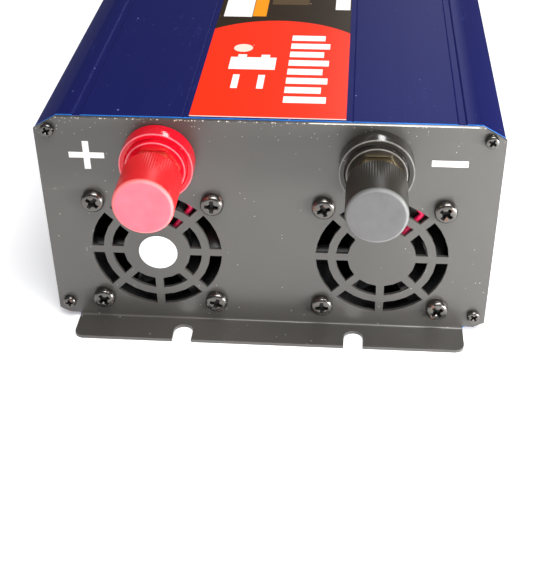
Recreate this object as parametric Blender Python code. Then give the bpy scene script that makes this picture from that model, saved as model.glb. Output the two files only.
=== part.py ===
"""A DC to AC power inverter in an extruded aluminium case, modelled as the separate pieces it is built from.

The frame is in metres: X across the case, Y from the battery end towards the mains end, Z up.
The origin is the centre of the case's underside. The battery end, at -Y, has two fan grilles and two binding posts.
The mains end, at +Y, has two outlets, a rocker switch, two lamps, air slots and an earth screw.
"""

import math

import bmesh
import bpy
from mathutils import Matrix, Vector

# ---------------------------------------------------------------- driving dimensions
CLEARANCE = 0.0003  # between two pieces that touch or pass through each other
MM = 0.001

CASE_LENGTH = 0.290
CASE_WIDTH = 0.1880
CASE_HEIGHT = 0.1005
CASE_WALL = 0.002
TOP_CHAMFER = (0.0094, 0.0054)  # across, down
BOTTOM_CHAMFER = (0.0091, 0.0049)
SPLIT_HEIGHT = 0.050  # where the upper shell meets the lower one
RAIL_THICKNESS = 0.0036  # the wall where the shells hook together
TONGUE_THICKNESS = 0.0014
TONGUE_DEPTH = 0.004
SIDE_GROOVE_PITCH = 0.0072
SIDE_GROOVE_HALF_WIDTH = 0.0012
SIDE_GROOVE_DEPTH = 0.0008
LABEL_LINE = 0.0338  # the fine line each side of the label
CHANNEL = (0.0191, 0.0037)  # the shallow channel near each top corner: in from the side, width
CHANNEL_DEPTH = 0.00045
PORT_RADIUS = 0.0036  # outside of the channel that takes an end plate's screw
PORT_SLIT = math.radians(24)
BOARD_LEDGE = (0.004, 0.0015)  # out from the wall, thickness

PLATE_DROP = 0.0003  # how far the case stands above the plate
PLATE_LIP = 0.0004  # how far the plate reaches past each side of the case
PLATE_THICKNESS = 0.0015
BEND_RADIUS = 0.001
FLANGE_DEPTH = 0.0155
FLANGE_CORNER = 0.004
SLOT_SPACING = 0.0749
SLOT_WIDTH = 0.0084
SLOT_DEPTH = 0.0106
BEND_STEPS = 3

TOP_SCREW = (0.0055, 0.0057)  # in from the case's side, down from its top
BOTTOM_SCREW = (0.0047, 0.0090)  # in from the case's side, up from its underside
CASE_SCREW = {"head": 0.0029, "height": 0.0022, "shank": 0.0014, "length": 0.009}
FAN_SCREW = {"head": 0.0049, "height": 0.0035, "shank": 0.0021, "length": 0.010}

FAN_SPACING = 0.0963
FAN_HEIGHT = 0.0373
FAN_SIZE = 0.060
FAN_DEPTH = 0.025
FAN_PITCH = 0.050  # between screw holes
FAN_CORNER = 0.0035
FAN_FLANGE = 0.0045
FAN_WALL = 0.0013
FAN_HUB = 0.014
FAN_BLADES = 7
BLADE_GAP = 0.001  # blade tip to duct
FAN_PIN = 0.0015
FAN_STEPS = 32  # sides of its round duct
STRUT_WIDTH = 0.0032
STRUT_SETBACK = 0.0028
STRUT_THICKNESS = 0.0022

GRILLE_RADII = (0.01445, 0.0195, 0.0230, 0.0281)
GRILLE_SPOKES = 8
GRILLE_SPOKE_WIDTH = 0.0034

POST_SPACING = 0.0880
POST_DROP = 0.0175  # from the case's top to the posts' axis
POST_FLANGE = (0.0151, 0.0079)  # radius, thickness
POST_FLANGE_TAPER = 0.0004
POST_BOSS = (0.0120, 0.0020)
POST_NECK = 0.0060
STUD_RADIUS = 0.0040
STUD_COLLAR = (0.0175, 0.0040)  # across flats, thickness
STUD_INSIDE = 0.017
STUD_REACH = 0.0320  # how far it stands out of the plate
KNOB_RADIUS = 0.0120
KNOB_LENGTH = 0.0226
KNOB_RIDGES = 24
KNOB_RIDGE_DEPTH = 0.0004
KNOB_CHAMFER = 0.0012
KNOB_BORE_DEPTH = 0.018
KNOB_WASHER = (0.0090, 0.0012)
KNOB_RECESS = (0.0093, 0.0009)  # radius and depth of the seat for the washer in its back
KNOB_OPEN = {"red": 0.0017, "black": 0.0028}  # from the collar to the knob
INNER_WASHER = (0.0110, 0.0030)
NUT = (0.0130, 0.0065)
LUG = (0.0075, 0.0016)
DC_CABLE = 0.0035

BOARD_BOTTOM = 0.0160
BOARD_THICKNESS = 0.0016
BOARD_SIDE_GAP = 0.0005
BOARD_FRONT = 0.033  # from the case's front end
BOARD_BACK = 0.004
HEATSINK = (0.006, 0.040, 0.150)  # thickness, height, length
TRANSISTORS = 6
TRANSISTOR = (0.0046, 0.0100, 0.0150)
CLAMP_STRIP = (0.0030, 0.0080)

OUTLET_FACE = 0.050
OUTLET_BODY = 0.044
OUTLET_BEZEL = 0.0025
OUTLET_DEPTH = 0.022
OUTLET_PLACES = {"left": -0.008, "right": -0.062}
OUTLET_HEIGHT = 0.063
SWITCH_PLACE = (0.057, 0.068)
SWITCH_FACE = (0.0255, 0.0310)
SWITCH_BODY = (0.0220, 0.0270)
SWITCH_BEZEL = 0.002
SWITCH_DEPTH = 0.024
SWITCH_WELL = (0.0190, 0.0250, 0.0100)
ROCKER = (0.0176, 0.0226)
ROCKER_TILT = math.radians(9)
LAMP_PLACES = {"power_lamp": 0.050, "fault_lamp": 0.064}
LAMP_HEIGHT = 0.040
LAMP_RADIUS = 0.0025
AIR_SLOT = (0.0035, 0.014)
AIR_SLOTS = 17
AIR_SLOT_PITCH = 0.0082
AIR_SLOT_HEIGHT = 0.020
EARTH_SCREW_PLACE = (0.080, 0.040)

LABEL_WIDTH = 0.0625
LABEL_THICKNESS = 0.00025
LABEL_MARGIN = 0.001
ADHESIVE = 0.00005
STICKER_RADIUS = 0.0083
STICKER_OFFSET = (0.0005, -0.0007)

# ---------------------------------------------------------------- values that follow from them
HALF_WIDTH = CASE_WIDTH / 2
HALF_LENGTH = CASE_LENGTH / 2
INNER_WALL = HALF_WIDTH - CASE_WALL
TOP_PORT = (HALF_WIDTH - TOP_SCREW[0], CASE_HEIGHT - TOP_SCREW[1])
BOTTOM_PORT = (HALF_WIDTH - BOTTOM_SCREW[0], BOTTOM_SCREW[1])
POST_HEIGHT = CASE_HEIGHT - POST_DROP
PLATE_HALF_WIDTH = HALF_WIDTH + PLATE_LIP
PLATE_TOP = CASE_HEIGHT - PLATE_DROP
PLATE_BACK = -HALF_LENGTH - CLEARANCE
PLATE_FRONT = PLATE_BACK - PLATE_THICKNESS
BOARD_TOP = BOARD_BOTTOM + BOARD_THICKNESS
FAN_FRONT = -HALF_LENGTH
COLLAR_FRONT = PLATE_FRONT - CLEARANCE - POST_FLANGE[1] - POST_BOSS[1] - CLEARANCE - STUD_COLLAR[1]

MATERIALS = {
    "blue_anodised": ((0.018, 0.030, 0.165), 0.35, 0.6),
    "black_coat": ((0.045, 0.043, 0.042), 0.4, 0.1),
    "black_screw": ((0.03, 0.03, 0.03), 0.25, 0.8),
    "red_plastic": ((0.62, 0.02, 0.04), 0.3, 0.0),
    "black_plastic": ((0.03, 0.03, 0.03), 0.3, 0.0),
    "brass": ((0.72, 0.52, 0.20), 0.25, 1.0),
    "zinc_steel": ((0.62, 0.62, 0.60), 0.3, 1.0),
    "fan_plastic": ((0.02, 0.02, 0.022), 0.45, 0.0),
    "label_print": ((0.90, 0.07, 0.02), 0.3, 0.0),
    "white_paper": ((0.88, 0.90, 0.90), 0.5, 0.0),
    "circuit_board": ((0.03, 0.20, 0.07), 0.4, 0.0),
    "aluminium": ((0.75, 0.76, 0.78), 0.35, 1.0),
    "epoxy": ((0.025, 0.025, 0.028), 0.5, 0.0),
    "ferrite": ((0.07, 0.07, 0.075), 0.6, 0.0),
    "winding_tape": ((0.75, 0.55, 0.08), 0.5, 0.0),
    "copper_wire": ((0.65, 0.25, 0.10), 0.3, 0.9),
    "capacitor_sleeve": ((0.02, 0.03, 0.12), 0.35, 0.0),
    "red_cable": ((0.65, 0.01, 0.03), 0.4, 0.0),
    "black_cable": ((0.02, 0.02, 0.02), 0.4, 0.0),
    "outlet_plastic": ((0.80, 0.79, 0.75), 0.4, 0.0),
    "switch_red": ((0.70, 0.02, 0.02), 0.3, 0.0),
    "green_lens": ((0.05, 0.60, 0.10), 0.15, 0.0),
    "red_lens": ((0.70, 0.03, 0.02), 0.15, 0.0),
}


# ---------------------------------------------------------------- helpers
def clear_scene():
    for obj in list(bpy.data.objects):
        bpy.data.objects.remove(obj)


def material(name):
    made = bpy.data.materials.get(name)
    if made is None:
        colour, roughness, metallic = MATERIALS[name]
        made = bpy.data.materials.new(name)
        made.use_nodes = True
        shader = made.node_tree.nodes["Principled BSDF"]
        shader.inputs["Base Color"].default_value = (*colour, 1.0)
        shader.inputs["Roughness"].default_value = roughness
        shader.inputs["Metallic"].default_value = metallic
    return made


def finish(bm):
    """Joins points that meet and turns every face outwards."""
    bmesh.ops.remove_doubles(bm, verts=bm.verts, dist=1e-6)
    bmesh.ops.recalc_face_normals(bm, faces=bm.faces)
    return bm


def place(name, bm, finish_name, location=(0, 0, 0), rotation=(0, 0, 0), smooth=35):
    """One named piece from a closed mesh."""
    mesh = bpy.data.meshes.new(name)
    finish(bm).to_mesh(mesh)
    bm.free()
    return place_mesh(name, mesh, finish_name, location, rotation, smooth)


def place_mesh(name, mesh, finish_name, location=(0, 0, 0), rotation=(0, 0, 0), smooth=35):
    obj = bpy.data.objects.new(name, mesh)
    bpy.context.scene.collection.objects.link(obj)
    obj.location = location
    obj.rotation_euler = rotation
    if not mesh.materials:
        mesh.materials.append(material(finish_name))
        mesh.shade_smooth()
        mesh.set_sharp_from_angle(angle=math.radians(smooth))
    return obj


def boolean(target, other, operation):
    """Cuts or joins the closed mesh `other` to a piece, at once, and leaves no helper behind."""
    mesh = bpy.data.meshes.new("helper")
    finish(other).to_mesh(mesh)
    other.free()
    helper = bpy.data.objects.new("helper", mesh)
    bpy.context.scene.collection.objects.link(helper)
    helper.location = target.location
    helper.rotation_euler = target.rotation_euler
    helper.hide_render = True
    helper.display_type = "WIRE"
    modifier = target.modifiers.new(operation.lower(), "BOOLEAN")
    modifier.operation = operation
    modifier.object = helper
    bpy.context.view_layer.update()
    graph = bpy.context.evaluated_depsgraph_get()
    result = bpy.data.meshes.new_from_object(target.evaluated_get(graph))
    target.modifiers.clear()
    target.data = result
    bpy.data.objects.remove(helper)
    return target


def arc(centre, radius, start, end, count):
    """Points on an arc, both ends included. Angles in radians, anticlockwise positive."""
    angles = [start + (end - start) * i / (count - 1) for i in range(count)]
    return [(centre[0] + radius * math.cos(a), centre[1] + radius * math.sin(a)) for a in angles]


def circle(centre, radius, count):
    return arc(centre, radius, 0, 2 * math.pi * (1 - 1 / count), count)


def polygon(centre, across_flats, sides=6, turn=0.0):
    radius = across_flats / 2 / math.cos(math.pi / sides)
    return arc(centre, radius, turn, turn + 2 * math.pi * (1 - 1 / sides), sides)


def rectangle(centre, width, height):
    x, z = centre
    w, h = width / 2, height / 2
    return [(x - w, z - h), (x + w, z - h), (x + w, z + h), (x - w, z + h)]


def rounded_rectangle(centre, width, height, radius, count=3):
    x, z = centre
    w, h = width / 2 - radius, height / 2 - radius
    corners = ((w, h, 0), (-w, h, 90), (-w, -h, 180), (w, -h, 270))
    points = []
    for dx, dz, turn in corners:
        start = math.radians(turn)
        points += arc((x + dx, z + dz), radius, start, start + math.pi / 2, count)
    return points


AXES = {
    "X": lambda u, v, along: (along, u, v),
    "Y": lambda u, v, along: (u, along, v),
    "Z": lambda u, v, along: (u, v, along),
}


def prism(outline, low, high, holes=(), axis="Y"):
    """A closed solid: an outline with holes, extruded along an axis from low to high."""
    bm = bmesh.new()
    spot = AXES[axis]
    for loop in (outline, *holes):
        verts = [bm.verts.new(spot(u, v, low)) for u, v in loop]
        for first, second in zip(verts, verts[1:] + verts[:1]):
            bm.edges.new((first, second))
    filled = bmesh.ops.triangle_fill(bm, use_beauty=True, edges=bm.edges[:])
    faces = [f for f in filled["geom"] if isinstance(f, bmesh.types.BMFace)]
    grown = bmesh.ops.extrude_face_region(bm, geom=faces)
    moved = [v for v in grown["geom"] if isinstance(v, bmesh.types.BMVert)]
    bmesh.ops.translate(bm, verts=moved, vec=Vector(spot(0, 0, high - low)))
    return finish(bm)


def box(low, high):
    bm = bmesh.new()
    bmesh.ops.create_cube(bm, size=1)
    low, high = Vector(low), Vector(high)
    size = high - low
    bmesh.ops.scale(bm, verts=bm.verts, vec=size)
    bmesh.ops.translate(bm, verts=bm.verts, vec=(low + high) / 2)
    return bm


def turned(profile, steps, axis="Y", closed=False):
    """A turned solid: points of (radius, distance along the axis), spun about the axis through the origin."""
    bm = bmesh.new()
    if axis == "Y":
        spots, direction = [(r, a, 0) for r, a in profile], (0, 1, 0)
    else:
        spots, direction = [(r, 0, a) for r, a in profile], (0, 0, 1)
    verts = [bm.verts.new(spot) for spot in spots]
    pairs = list(zip(verts, verts[1:]))
    if closed:
        pairs.append((verts[-1], verts[0]))
    edges = [bm.edges.new(pair) for pair in pairs]
    bmesh.ops.spin(
        bm, geom=verts + edges, cent=(0, 0, 0), axis=direction, angle=2 * math.pi, steps=steps, use_merge=True
    )
    return finish(bm)


def merged(*parts):
    """Several closed meshes in one, for one cut."""
    whole = bmesh.new()
    for part in parts:
        mesh = bpy.data.meshes.new("part")
        part.to_mesh(mesh)
        part.free()
        whole.from_mesh(mesh)
        bpy.data.meshes.remove(mesh)
    return whole


def tube(points, radius, per_span=3):
    """A round cable along a smooth curve through its points."""
    control = [Vector(points[0]), *[Vector(p) for p in points], Vector(points[-1])]
    smooth = []
    for i in range(1, len(control) - 2):
        p0, p1, p2, p3 = control[i - 1 : i + 3]
        for k in range(per_span):
            t = k / per_span
            smooth.append(
                0.5 * ((2 * p1) + (p2 - p0) * t + (2 * p0 - 5 * p1 + 4 * p2 - p3) * t**2
                       + (3 * p1 - p0 - 3 * p2 + p3) * t**3)
            )
    smooth.append(control[-2])
    curve = bpy.data.curves.new("route", "CURVE")
    curve.dimensions = "3D"
    curve.bevel_depth = radius
    curve.bevel_resolution = 2
    curve.use_fill_caps = True
    spline = curve.splines.new("POLY")
    spline.points.add(len(smooth) - 1)
    for point, spot in zip(spline.points, smooth):
        point.co = (*spot, 1)
    helper = bpy.data.objects.new("route", curve)
    bpy.context.scene.collection.objects.link(helper)
    bpy.context.view_layer.update()
    mesh = bpy.data.meshes.new_from_object(helper.evaluated_get(bpy.context.evaluated_depsgraph_get()))
    bpy.data.objects.remove(helper)
    bm = bmesh.new()
    bm.from_mesh(mesh)
    bpy.data.meshes.remove(mesh)
    return finish(bm)


# ---------------------------------------------------------------- case
def screw_port(centre, wall, floor, up):
    """Inside line of a corner's screw channel, from the side wall round its slit hole to the top or bottom wall.

    up is 1 in the upper shell, where the channel's open side looks down, and -1 in the lower one.
    """
    x, z = centre
    radius, hole = PORT_RADIUS, CASE_SCREW["shank"] + CLEARANCE
    slit = math.radians(225)
    inner_slit = PORT_SLIT * radius / hole / 2
    points = [(wall, z - radius)]
    points += arc((x, z), radius, math.radians(270), slit + PORT_SLIT / 2, 4)
    points += arc((x, z), hole, slit + inner_slit, slit + 2 * math.pi - inner_slit, 12)
    points += arc((x, z), radius, slit - PORT_SLIT / 2, math.radians(180), 4)
    points.append((x - radius, z + up * (floor - z)))
    return [(px, z + up * (pz - z)) for px, pz in points]


def side_grooves(first, count, direction):
    """Shallow grooves down the outside of a side wall."""
    points = []
    for i in range(count):
        z = first + direction * i * SIDE_GROOVE_PITCH
        half, slope = SIDE_GROOVE_HALF_WIDTH * direction, SIDE_GROOVE_HALF_WIDTH * direction / 2
        points += [
            (HALF_WIDTH, z - half),
            (HALF_WIDTH - SIDE_GROOVE_DEPTH, z - slope),
            (HALF_WIDTH - SIDE_GROOVE_DEPTH, z + slope),
            (HALF_WIDTH, z + half),
        ]
    return points


def grooves_that_fit(first, last):
    return int((abs(last - first) - 2 * SIDE_GROOVE_HALF_WIDTH) / SIDE_GROOVE_PITCH)


def both_sides(half):
    return half + [(-x, z) for x, z in reversed(half)]


def upper_shell():
    top, hook = CASE_HEIGHT, HALF_WIDTH - RAIL_THICKNESS
    line_depth, line_half, slope = 0.00035, 0.00025, 0.0005
    channel = HALF_WIDTH - CHANNEL[0]
    below_chamfer = top - TOP_CHAMFER[1]
    start = below_chamfer - SIDE_GROOVE_PITCH
    half = [
        (LABEL_LINE - line_half, top),
        (LABEL_LINE, top - line_depth),
        (LABEL_LINE + line_half, top),
        (channel, top),
        (channel + slope, top - CHANNEL_DEPTH),
        (channel + CHANNEL[1] - slope, top - CHANNEL_DEPTH),
        (channel + CHANNEL[1], top),
        (HALF_WIDTH - TOP_CHAMFER[0], top),
        (HALF_WIDTH, below_chamfer),
    ]
    half += side_grooves(start, grooves_that_fit(start, SPLIT_HEIGHT), -1)
    half += [
        (HALF_WIDTH, SPLIT_HEIGHT),
        (hook + TONGUE_THICKNESS, SPLIT_HEIGHT),
        (hook + TONGUE_THICKNESS, SPLIT_HEIGHT - TONGUE_DEPTH),
        (hook, SPLIT_HEIGHT - TONGUE_DEPTH),
        (hook, SPLIT_HEIGHT + TONGUE_DEPTH),
        (INNER_WALL, SPLIT_HEIGHT + TONGUE_DEPTH + CASE_WALL),
    ]
    half += screw_port(TOP_PORT, INNER_WALL, top - CASE_WALL, 1)
    place("upper_shell", prism(both_sides(half), -HALF_LENGTH, HALF_LENGTH), "blue_anodised")


def lower_shell():
    hook, top = HALF_WIDTH - RAIL_THICKNESS, SPLIT_HEIGHT - CLEARANCE
    pocket = top - TONGUE_DEPTH
    reach, thick = BOARD_LEDGE
    start = BOTTOM_CHAMFER[1] + SIDE_GROOVE_PITCH
    half = [(HALF_WIDTH - BOTTOM_CHAMFER[0], 0), (HALF_WIDTH, BOTTOM_CHAMFER[1])]
    half += side_grooves(start, grooves_that_fit(start, SPLIT_HEIGHT), 1)
    half += [
        (HALF_WIDTH, top),
        (hook + TONGUE_THICKNESS + CLEARANCE, top),
        (hook + TONGUE_THICKNESS + CLEARANCE, pocket),
        (hook, pocket),
        (hook, pocket - TONGUE_DEPTH),
        (INNER_WALL, pocket - TONGUE_DEPTH - CASE_WALL),
    ]
    for low in (BOARD_TOP + CLEARANCE, BOARD_BOTTOM - CLEARANCE - thick):
        half += [
            (INNER_WALL, low + thick),
            (INNER_WALL - reach, low + thick),
            (INNER_WALL - reach, low),
            (INNER_WALL, low),
        ]
    half += screw_port(BOTTOM_PORT, INNER_WALL, CASE_WALL, -1)
    place("lower_shell", prism(both_sides(half), -HALF_LENGTH, HALF_LENGTH), "blue_anodised")


# ---------------------------------------------------------------- end plates
def flat_plate_outline():
    """The end plate before its flange is bent out: (across, up), with the flange below the bend line."""
    bend_line = PLATE_THICKNESS + BEND_RADIUS
    edge = bend_line - bend_length() - (FLANGE_DEPTH - BEND_RADIUS)
    foot = PLATE_HALF_WIDTH - BOTTOM_CHAMFER[0]
    relief = foot + BOTTOM_CHAMFER[0] * bend_line / BOTTOM_CHAMFER[1]
    slot_x, half_slot = SLOT_SPACING / 2, SLOT_WIDTH / 2
    slot_end = edge + SLOT_DEPTH - half_slot
    half = [
        (PLATE_HALF_WIDTH - TOP_CHAMFER[0], PLATE_TOP),
        (PLATE_HALF_WIDTH, PLATE_TOP - TOP_CHAMFER[1]),
        (PLATE_HALF_WIDTH, BOTTOM_CHAMFER[1]),
        (relief, bend_line),
        (foot, bend_line),
    ]
    corner = (foot - FLANGE_CORNER, edge + FLANGE_CORNER)
    half += arc(corner, FLANGE_CORNER, 0, -math.pi / 2, 5)
    half.append((slot_x + half_slot, edge))
    half += arc((slot_x, slot_end), half_slot, 0, math.pi, 9)
    half.append((slot_x - half_slot, edge))
    return both_sides(half)


def bend_length():
    return math.pi / 2 * (BEND_RADIUS + PLATE_THICKNESS / 2)


def bend_flange(bm):
    """Folds everything below the bend line outwards, on the neutral line of the sheet."""
    bend_line = PLATE_THICKNESS + BEND_RADIUS
    centre_y = PLATE_FRONT - BEND_RADIUS
    for i in range(BEND_STEPS + 1):
        cut = bend_line - bend_length() * i / BEND_STEPS
        parts = bm.verts[:] + bm.edges[:] + bm.faces[:]
        bmesh.ops.bisect_plane(bm, geom=parts, dist=1e-7, plane_co=(0, 0, cut), plane_no=(0, 0, 1))
    for vert in bm.verts:
        below = bend_line - vert.co.z
        if below <= 0:
            continue
        radius = vert.co.y - centre_y
        turn = min(below / bend_length(), 1) * math.pi / 2
        past = max(below - bend_length(), 0)
        vert.co.y = centre_y + radius * math.cos(turn) - past
        vert.co.z = bend_line - radius * math.sin(turn)
    return bm


def bent_plate(holes):
    return bend_flange(prism(flat_plate_outline(), PLATE_FRONT, PLATE_BACK, holes))


def plate_screw_places():
    return [(side * x, z) for x, z in (TOP_PORT, BOTTOM_PORT) for side in (-1, 1)]


def fan_centres():
    return {"left": (-FAN_SPACING / 2, FAN_HEIGHT), "right": (FAN_SPACING / 2, FAN_HEIGHT)}


def fan_screw_places(centre):
    half = FAN_PITCH / 2
    return [(centre[0] + dx, centre[1] + dz) for dz in (half, -half) for dx in (-half, half)]


def grille_holes(centre):
    """Two rings of arc-shaped slots, parted by straight spokes."""
    holes = []
    step = 2 * math.pi / GRILLE_SPOKES
    for inner, outer, count in ((*GRILLE_RADII[:2], 3), (*GRILLE_RADII[2:], 4)):
        for k in range(GRILLE_SPOKES):
            gap_in = math.asin(GRILLE_SPOKE_WIDTH / 2 / inner)
            gap_out = math.asin(GRILLE_SPOKE_WIDTH / 2 / outer)
            start, end = k * step, (k + 1) * step
            hole = arc(centre, outer, start + gap_out, end - gap_out, count + 1)
            hole += arc(centre, inner, end - gap_in, start + gap_in, count)
            holes.append(hole)
    return holes


def plate_screw_holes():
    radius = CASE_SCREW["shank"] + CLEARANCE
    return [circle(spot, radius, 10) for spot in plate_screw_places()]


def front_plate():
    holes = plate_screw_holes()
    for centre in fan_centres().values():
        holes += grille_holes(centre)
        holes += [circle(spot, FAN_SCREW["shank"] + CLEARANCE, 12) for spot in fan_screw_places(centre)]
    for side in (-1, 1):
        holes.append(circle((side * POST_SPACING / 2, POST_HEIGHT), POST_NECK + CLEARANCE, 20))
    place("front_plate", bent_plate(holes), "black_coat", smooth=30)


def air_slot_places():
    first = -(AIR_SLOTS - 1) / 2
    return [((first + i) * AIR_SLOT_PITCH, AIR_SLOT_HEIGHT) for i in range(AIR_SLOTS)]


def rear_plate():
    """The same blank turned to face the other way, so its places are mirrored from left to right."""
    holes = plate_screw_holes()
    for x in OUTLET_PLACES.values():
        body = OUTLET_BODY + 2 * CLEARANCE
        holes.append(rectangle((-x, OUTLET_HEIGHT), body, body))
    switch_x, switch_z = SWITCH_PLACE
    body = [side + 2 * CLEARANCE for side in SWITCH_BODY]
    holes.append(rectangle((-switch_x, switch_z), *body))
    holes += [circle((-x, LAMP_HEIGHT), LAMP_RADIUS + CLEARANCE, 12) for x in LAMP_PLACES.values()]
    holes.append(circle((-EARTH_SCREW_PLACE[0], EARTH_SCREW_PLACE[1]), FAN_SCREW["shank"] + CLEARANCE, 12))
    for spot in air_slot_places():
        holes.append(rounded_rectangle(spot, *AIR_SLOT, AIR_SLOT[0] / 2 - 1e-4, 2))
    bm = bent_plate(holes)
    bmesh.ops.rotate(bm, verts=bm.verts, cent=(0, 0, 0), matrix=Matrix.Rotation(math.pi, 3, "Z"))
    place("rear_plate", bm, "black_coat", smooth=30)


# ---------------------------------------------------------------- screws
def screw_mesh(name, size, steps):
    """A pan-head screw whose head's underside is at the origin, with its shank along +Y."""
    head, height = size["head"], size["height"]
    profile = [
        (0, -height),
        (0.55 * head, -height),
        (0.88 * head, -0.78 * height),
        (head, -0.35 * height),
        (head, 0),
        (size["shank"], 0),
        (size["shank"], size["length"] - size["shank"]),
        (0, size["length"]),
    ]
    screw = place(name, turned(profile, steps), "black_screw")
    mesh = screw.data
    bpy.data.objects.remove(screw)
    return mesh


def screws():
    head_gap = CLEARANCE
    front, back = PLATE_FRONT - head_gap, -(PLATE_FRONT - head_gap)
    turn_step = math.radians(34)
    case_mesh = screw_mesh("case_screw", CASE_SCREW, 10)
    names = ("top_left", "top_right", "bottom_left", "bottom_right")
    for i, (name, (x, z)) in enumerate(zip(names, plate_screw_places())):
        place_mesh(f"front_plate_screw_{name}", case_mesh, "black_screw", (x, front, z), (0, i * turn_step, 0))
        place_mesh(f"rear_plate_screw_{name}", case_mesh, "black_screw", (x, back, z), (0, 0, math.pi))
    fan_mesh = screw_mesh("fan_screw", FAN_SCREW, 12)
    for side, centre in fan_centres().items():
        for i, (name, (x, z)) in enumerate(zip(names, fan_screw_places(centre))):
            place_mesh(f"{side}_fan_screw_{name}", fan_mesh, "black_screw", (x, front, z), (0, i * turn_step, 0))
    x, z = EARTH_SCREW_PLACE
    place_mesh("earth_screw", fan_mesh, "black_screw", (x, back, z), (0, 0, math.pi))


# ---------------------------------------------------------------- fans
def fan_frame(side, centre):
    """The fan's fixed part: two square flanges joined by a round duct, and the motor plate on three struts."""
    half, bore = FAN_SIZE / 2, FAN_SIZE / 2 - FAN_WALL
    lap = 0.0002
    corner_holes = [circle(spot, FAN_SCREW["shank"] + CLEARANCE, 8) for spot in fan_screw_places((0, 0))]
    outline = rounded_rectangle((0, 0), FAN_SIZE, FAN_SIZE, FAN_CORNER)
    block = prism(outline, 0, FAN_DEPTH, [circle((0, 0), bore, FAN_STEPS), *corner_holes])
    frame = place(f"{side}_fan_frame", block, "fan_plastic")
    around = rectangle((0, 0), 2 * FAN_SIZE, 2 * FAN_SIZE)
    waist = prism(around, FAN_FLANGE, FAN_DEPTH - FAN_FLANGE, [circle((0, 0), half - lap, FAN_STEPS)])
    boolean(frame, waist, "DIFFERENCE")
    low, high = STRUT_SETBACK, STRUT_SETBACK + STRUT_THICKNESS
    hub = [(0, low), (FAN_HUB, low), (FAN_HUB, high), (FAN_PIN, high), (FAN_PIN, FAN_DEPTH - 0.006), (0, FAN_DEPTH - 0.006)]
    boolean(frame, turned(hub, 20), "UNION")
    for degrees in (60, 180, 300):
        strut = box((FAN_HUB - 0.002, low + lap, -STRUT_WIDTH / 2), (bore + FAN_WALL / 2, high - lap, STRUT_WIDTH / 2))
        turn = Matrix.Rotation(math.radians(-degrees), 3, "Y")
        bmesh.ops.rotate(strut, verts=strut.verts, cent=(0, 0, 0), matrix=turn)
        boolean(frame, strut, "UNION")
    notch = lead_notch()
    boolean(frame, notch, "DIFFERENCE")
    frame.location = (centre[0], FAN_FRONT, centre[1])


def lead_notch():
    """A notch through the front flange, above the upper strut, that lets the fan's lead out at the top."""
    angle = math.radians(60)
    half = FAN_SIZE / 2
    bore = half - FAN_WALL
    x = bore * math.cos(angle)
    return box((x - 0.0016, -0.001, bore * math.sin(angle) - 0.004), (x + 0.0016, STRUT_SETBACK, half + 0.001))


def fan_rotor(side, centre):
    """Hub cup and twisted blades, which turn on the frame's pin behind the motor plate."""
    front = STRUT_SETBACK + STRUT_THICKNESS + 0.001
    back = FAN_DEPTH - 0.003
    tip = FAN_SIZE / 2 - FAN_WALL - BLADE_GAP
    bore = FAN_PIN + CLEARANCE
    hub = [
        (0, back - 0.002),
        (bore, back - 0.002),
        (bore, front),
        (FAN_HUB, front),
        (FAN_HUB, back - 0.001),
        (FAN_HUB - 0.001, back),
        (0, back),
    ]
    rotor = place(f"{side}_fan_rotor", turned(hub, 20), "fan_plastic")
    for k in range(FAN_BLADES):
        boolean(rotor, blade(front + 0.001, back - 0.002, tip, 2 * math.pi * k / FAN_BLADES), "UNION")
    rotor.location = (centre[0], FAN_FRONT, centre[1])


def blade(front, back, tip, turn):
    """One blade: a thin plate that sweeps from front to back and twists less towards its tip."""
    bm = bmesh.new()
    thickness = 0.0012
    sections = []
    for radius, sweep in ((FAN_HUB - 0.0015, 0.60), (FAN_HUB + (tip - FAN_HUB) / 2, 0.54), (tip, 0.50)):
        ring = []
        for along, side in ((front, -1), (back, 1)):
            angle = turn + side * sweep / 2
            offset = thickness / 2 / radius
            order = (-1, 1) if side < 0 else (1, -1)
            for edge in order:
                a = angle + edge * offset
                ring.append(bm.verts.new((radius * math.cos(a), along, radius * math.sin(a))))
        sections.append(ring)
    for first, second in zip(sections, sections[1:]):
        for i in range(4):
            j = (i + 1) % 4
            bm.faces.new((first[i], first[j], second[j], second[i]))
    bm.faces.new(sections[0])
    bm.faces.new(sections[-1])
    return finish(bm)


def fan_lead(side, centre):
    """The fan's supply wire: beside the upper strut, out through the notch, back over the fan and down to the board."""
    x, z = centre
    radius = 0.0008
    angle, lean = math.radians(60), math.radians(52.5)
    bore, half = FAN_SIZE / 2 - FAN_WALL, FAN_SIZE / 2
    near = FAN_FRONT + STRUT_SETBACK - CLEARANCE - radius
    over = z + half + 3 * radius
    out_x = x + bore * math.cos(angle)
    behind = FAN_FRONT + FAN_DEPTH + 0.006
    route = [
        *((x + reach * math.cos(lean), near, z + reach * math.sin(lean)) for reach in (0.6 * FAN_HUB, FAN_HUB, 0.8 * bore)),
        (out_x, near, z + bore * math.sin(angle)),
        (out_x, near + 0.0006, over - 0.001),
        (out_x, near + 0.004, over + 0.001),
        (out_x, FAN_FRONT + FAN_DEPTH / 2, over + 0.0005),
        (out_x, behind - 0.004, over),
        (out_x, behind, over - 0.006),
        (out_x, behind + 0.001, z),
        (out_x, behind + 0.002, BOARD_TOP + 0.012),
        (out_x, FAN_FRONT + BOARD_FRONT + 0.005, BOARD_TOP + CLEARANCE),
    ]
    place(f"{side}_fan_lead", tube(route, radius, 2), "red_cable", smooth=60)


def fans():
    for side, centre in fan_centres().items():
        fan_frame(side, centre)
        fan_rotor(side, centre)
        fan_lead(side, centre)


# ---------------------------------------------------------------- binding posts
def post_centre(colour):
    return (-POST_SPACING / 2 if colour == "red" else POST_SPACING / 2, POST_HEIGHT)


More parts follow.
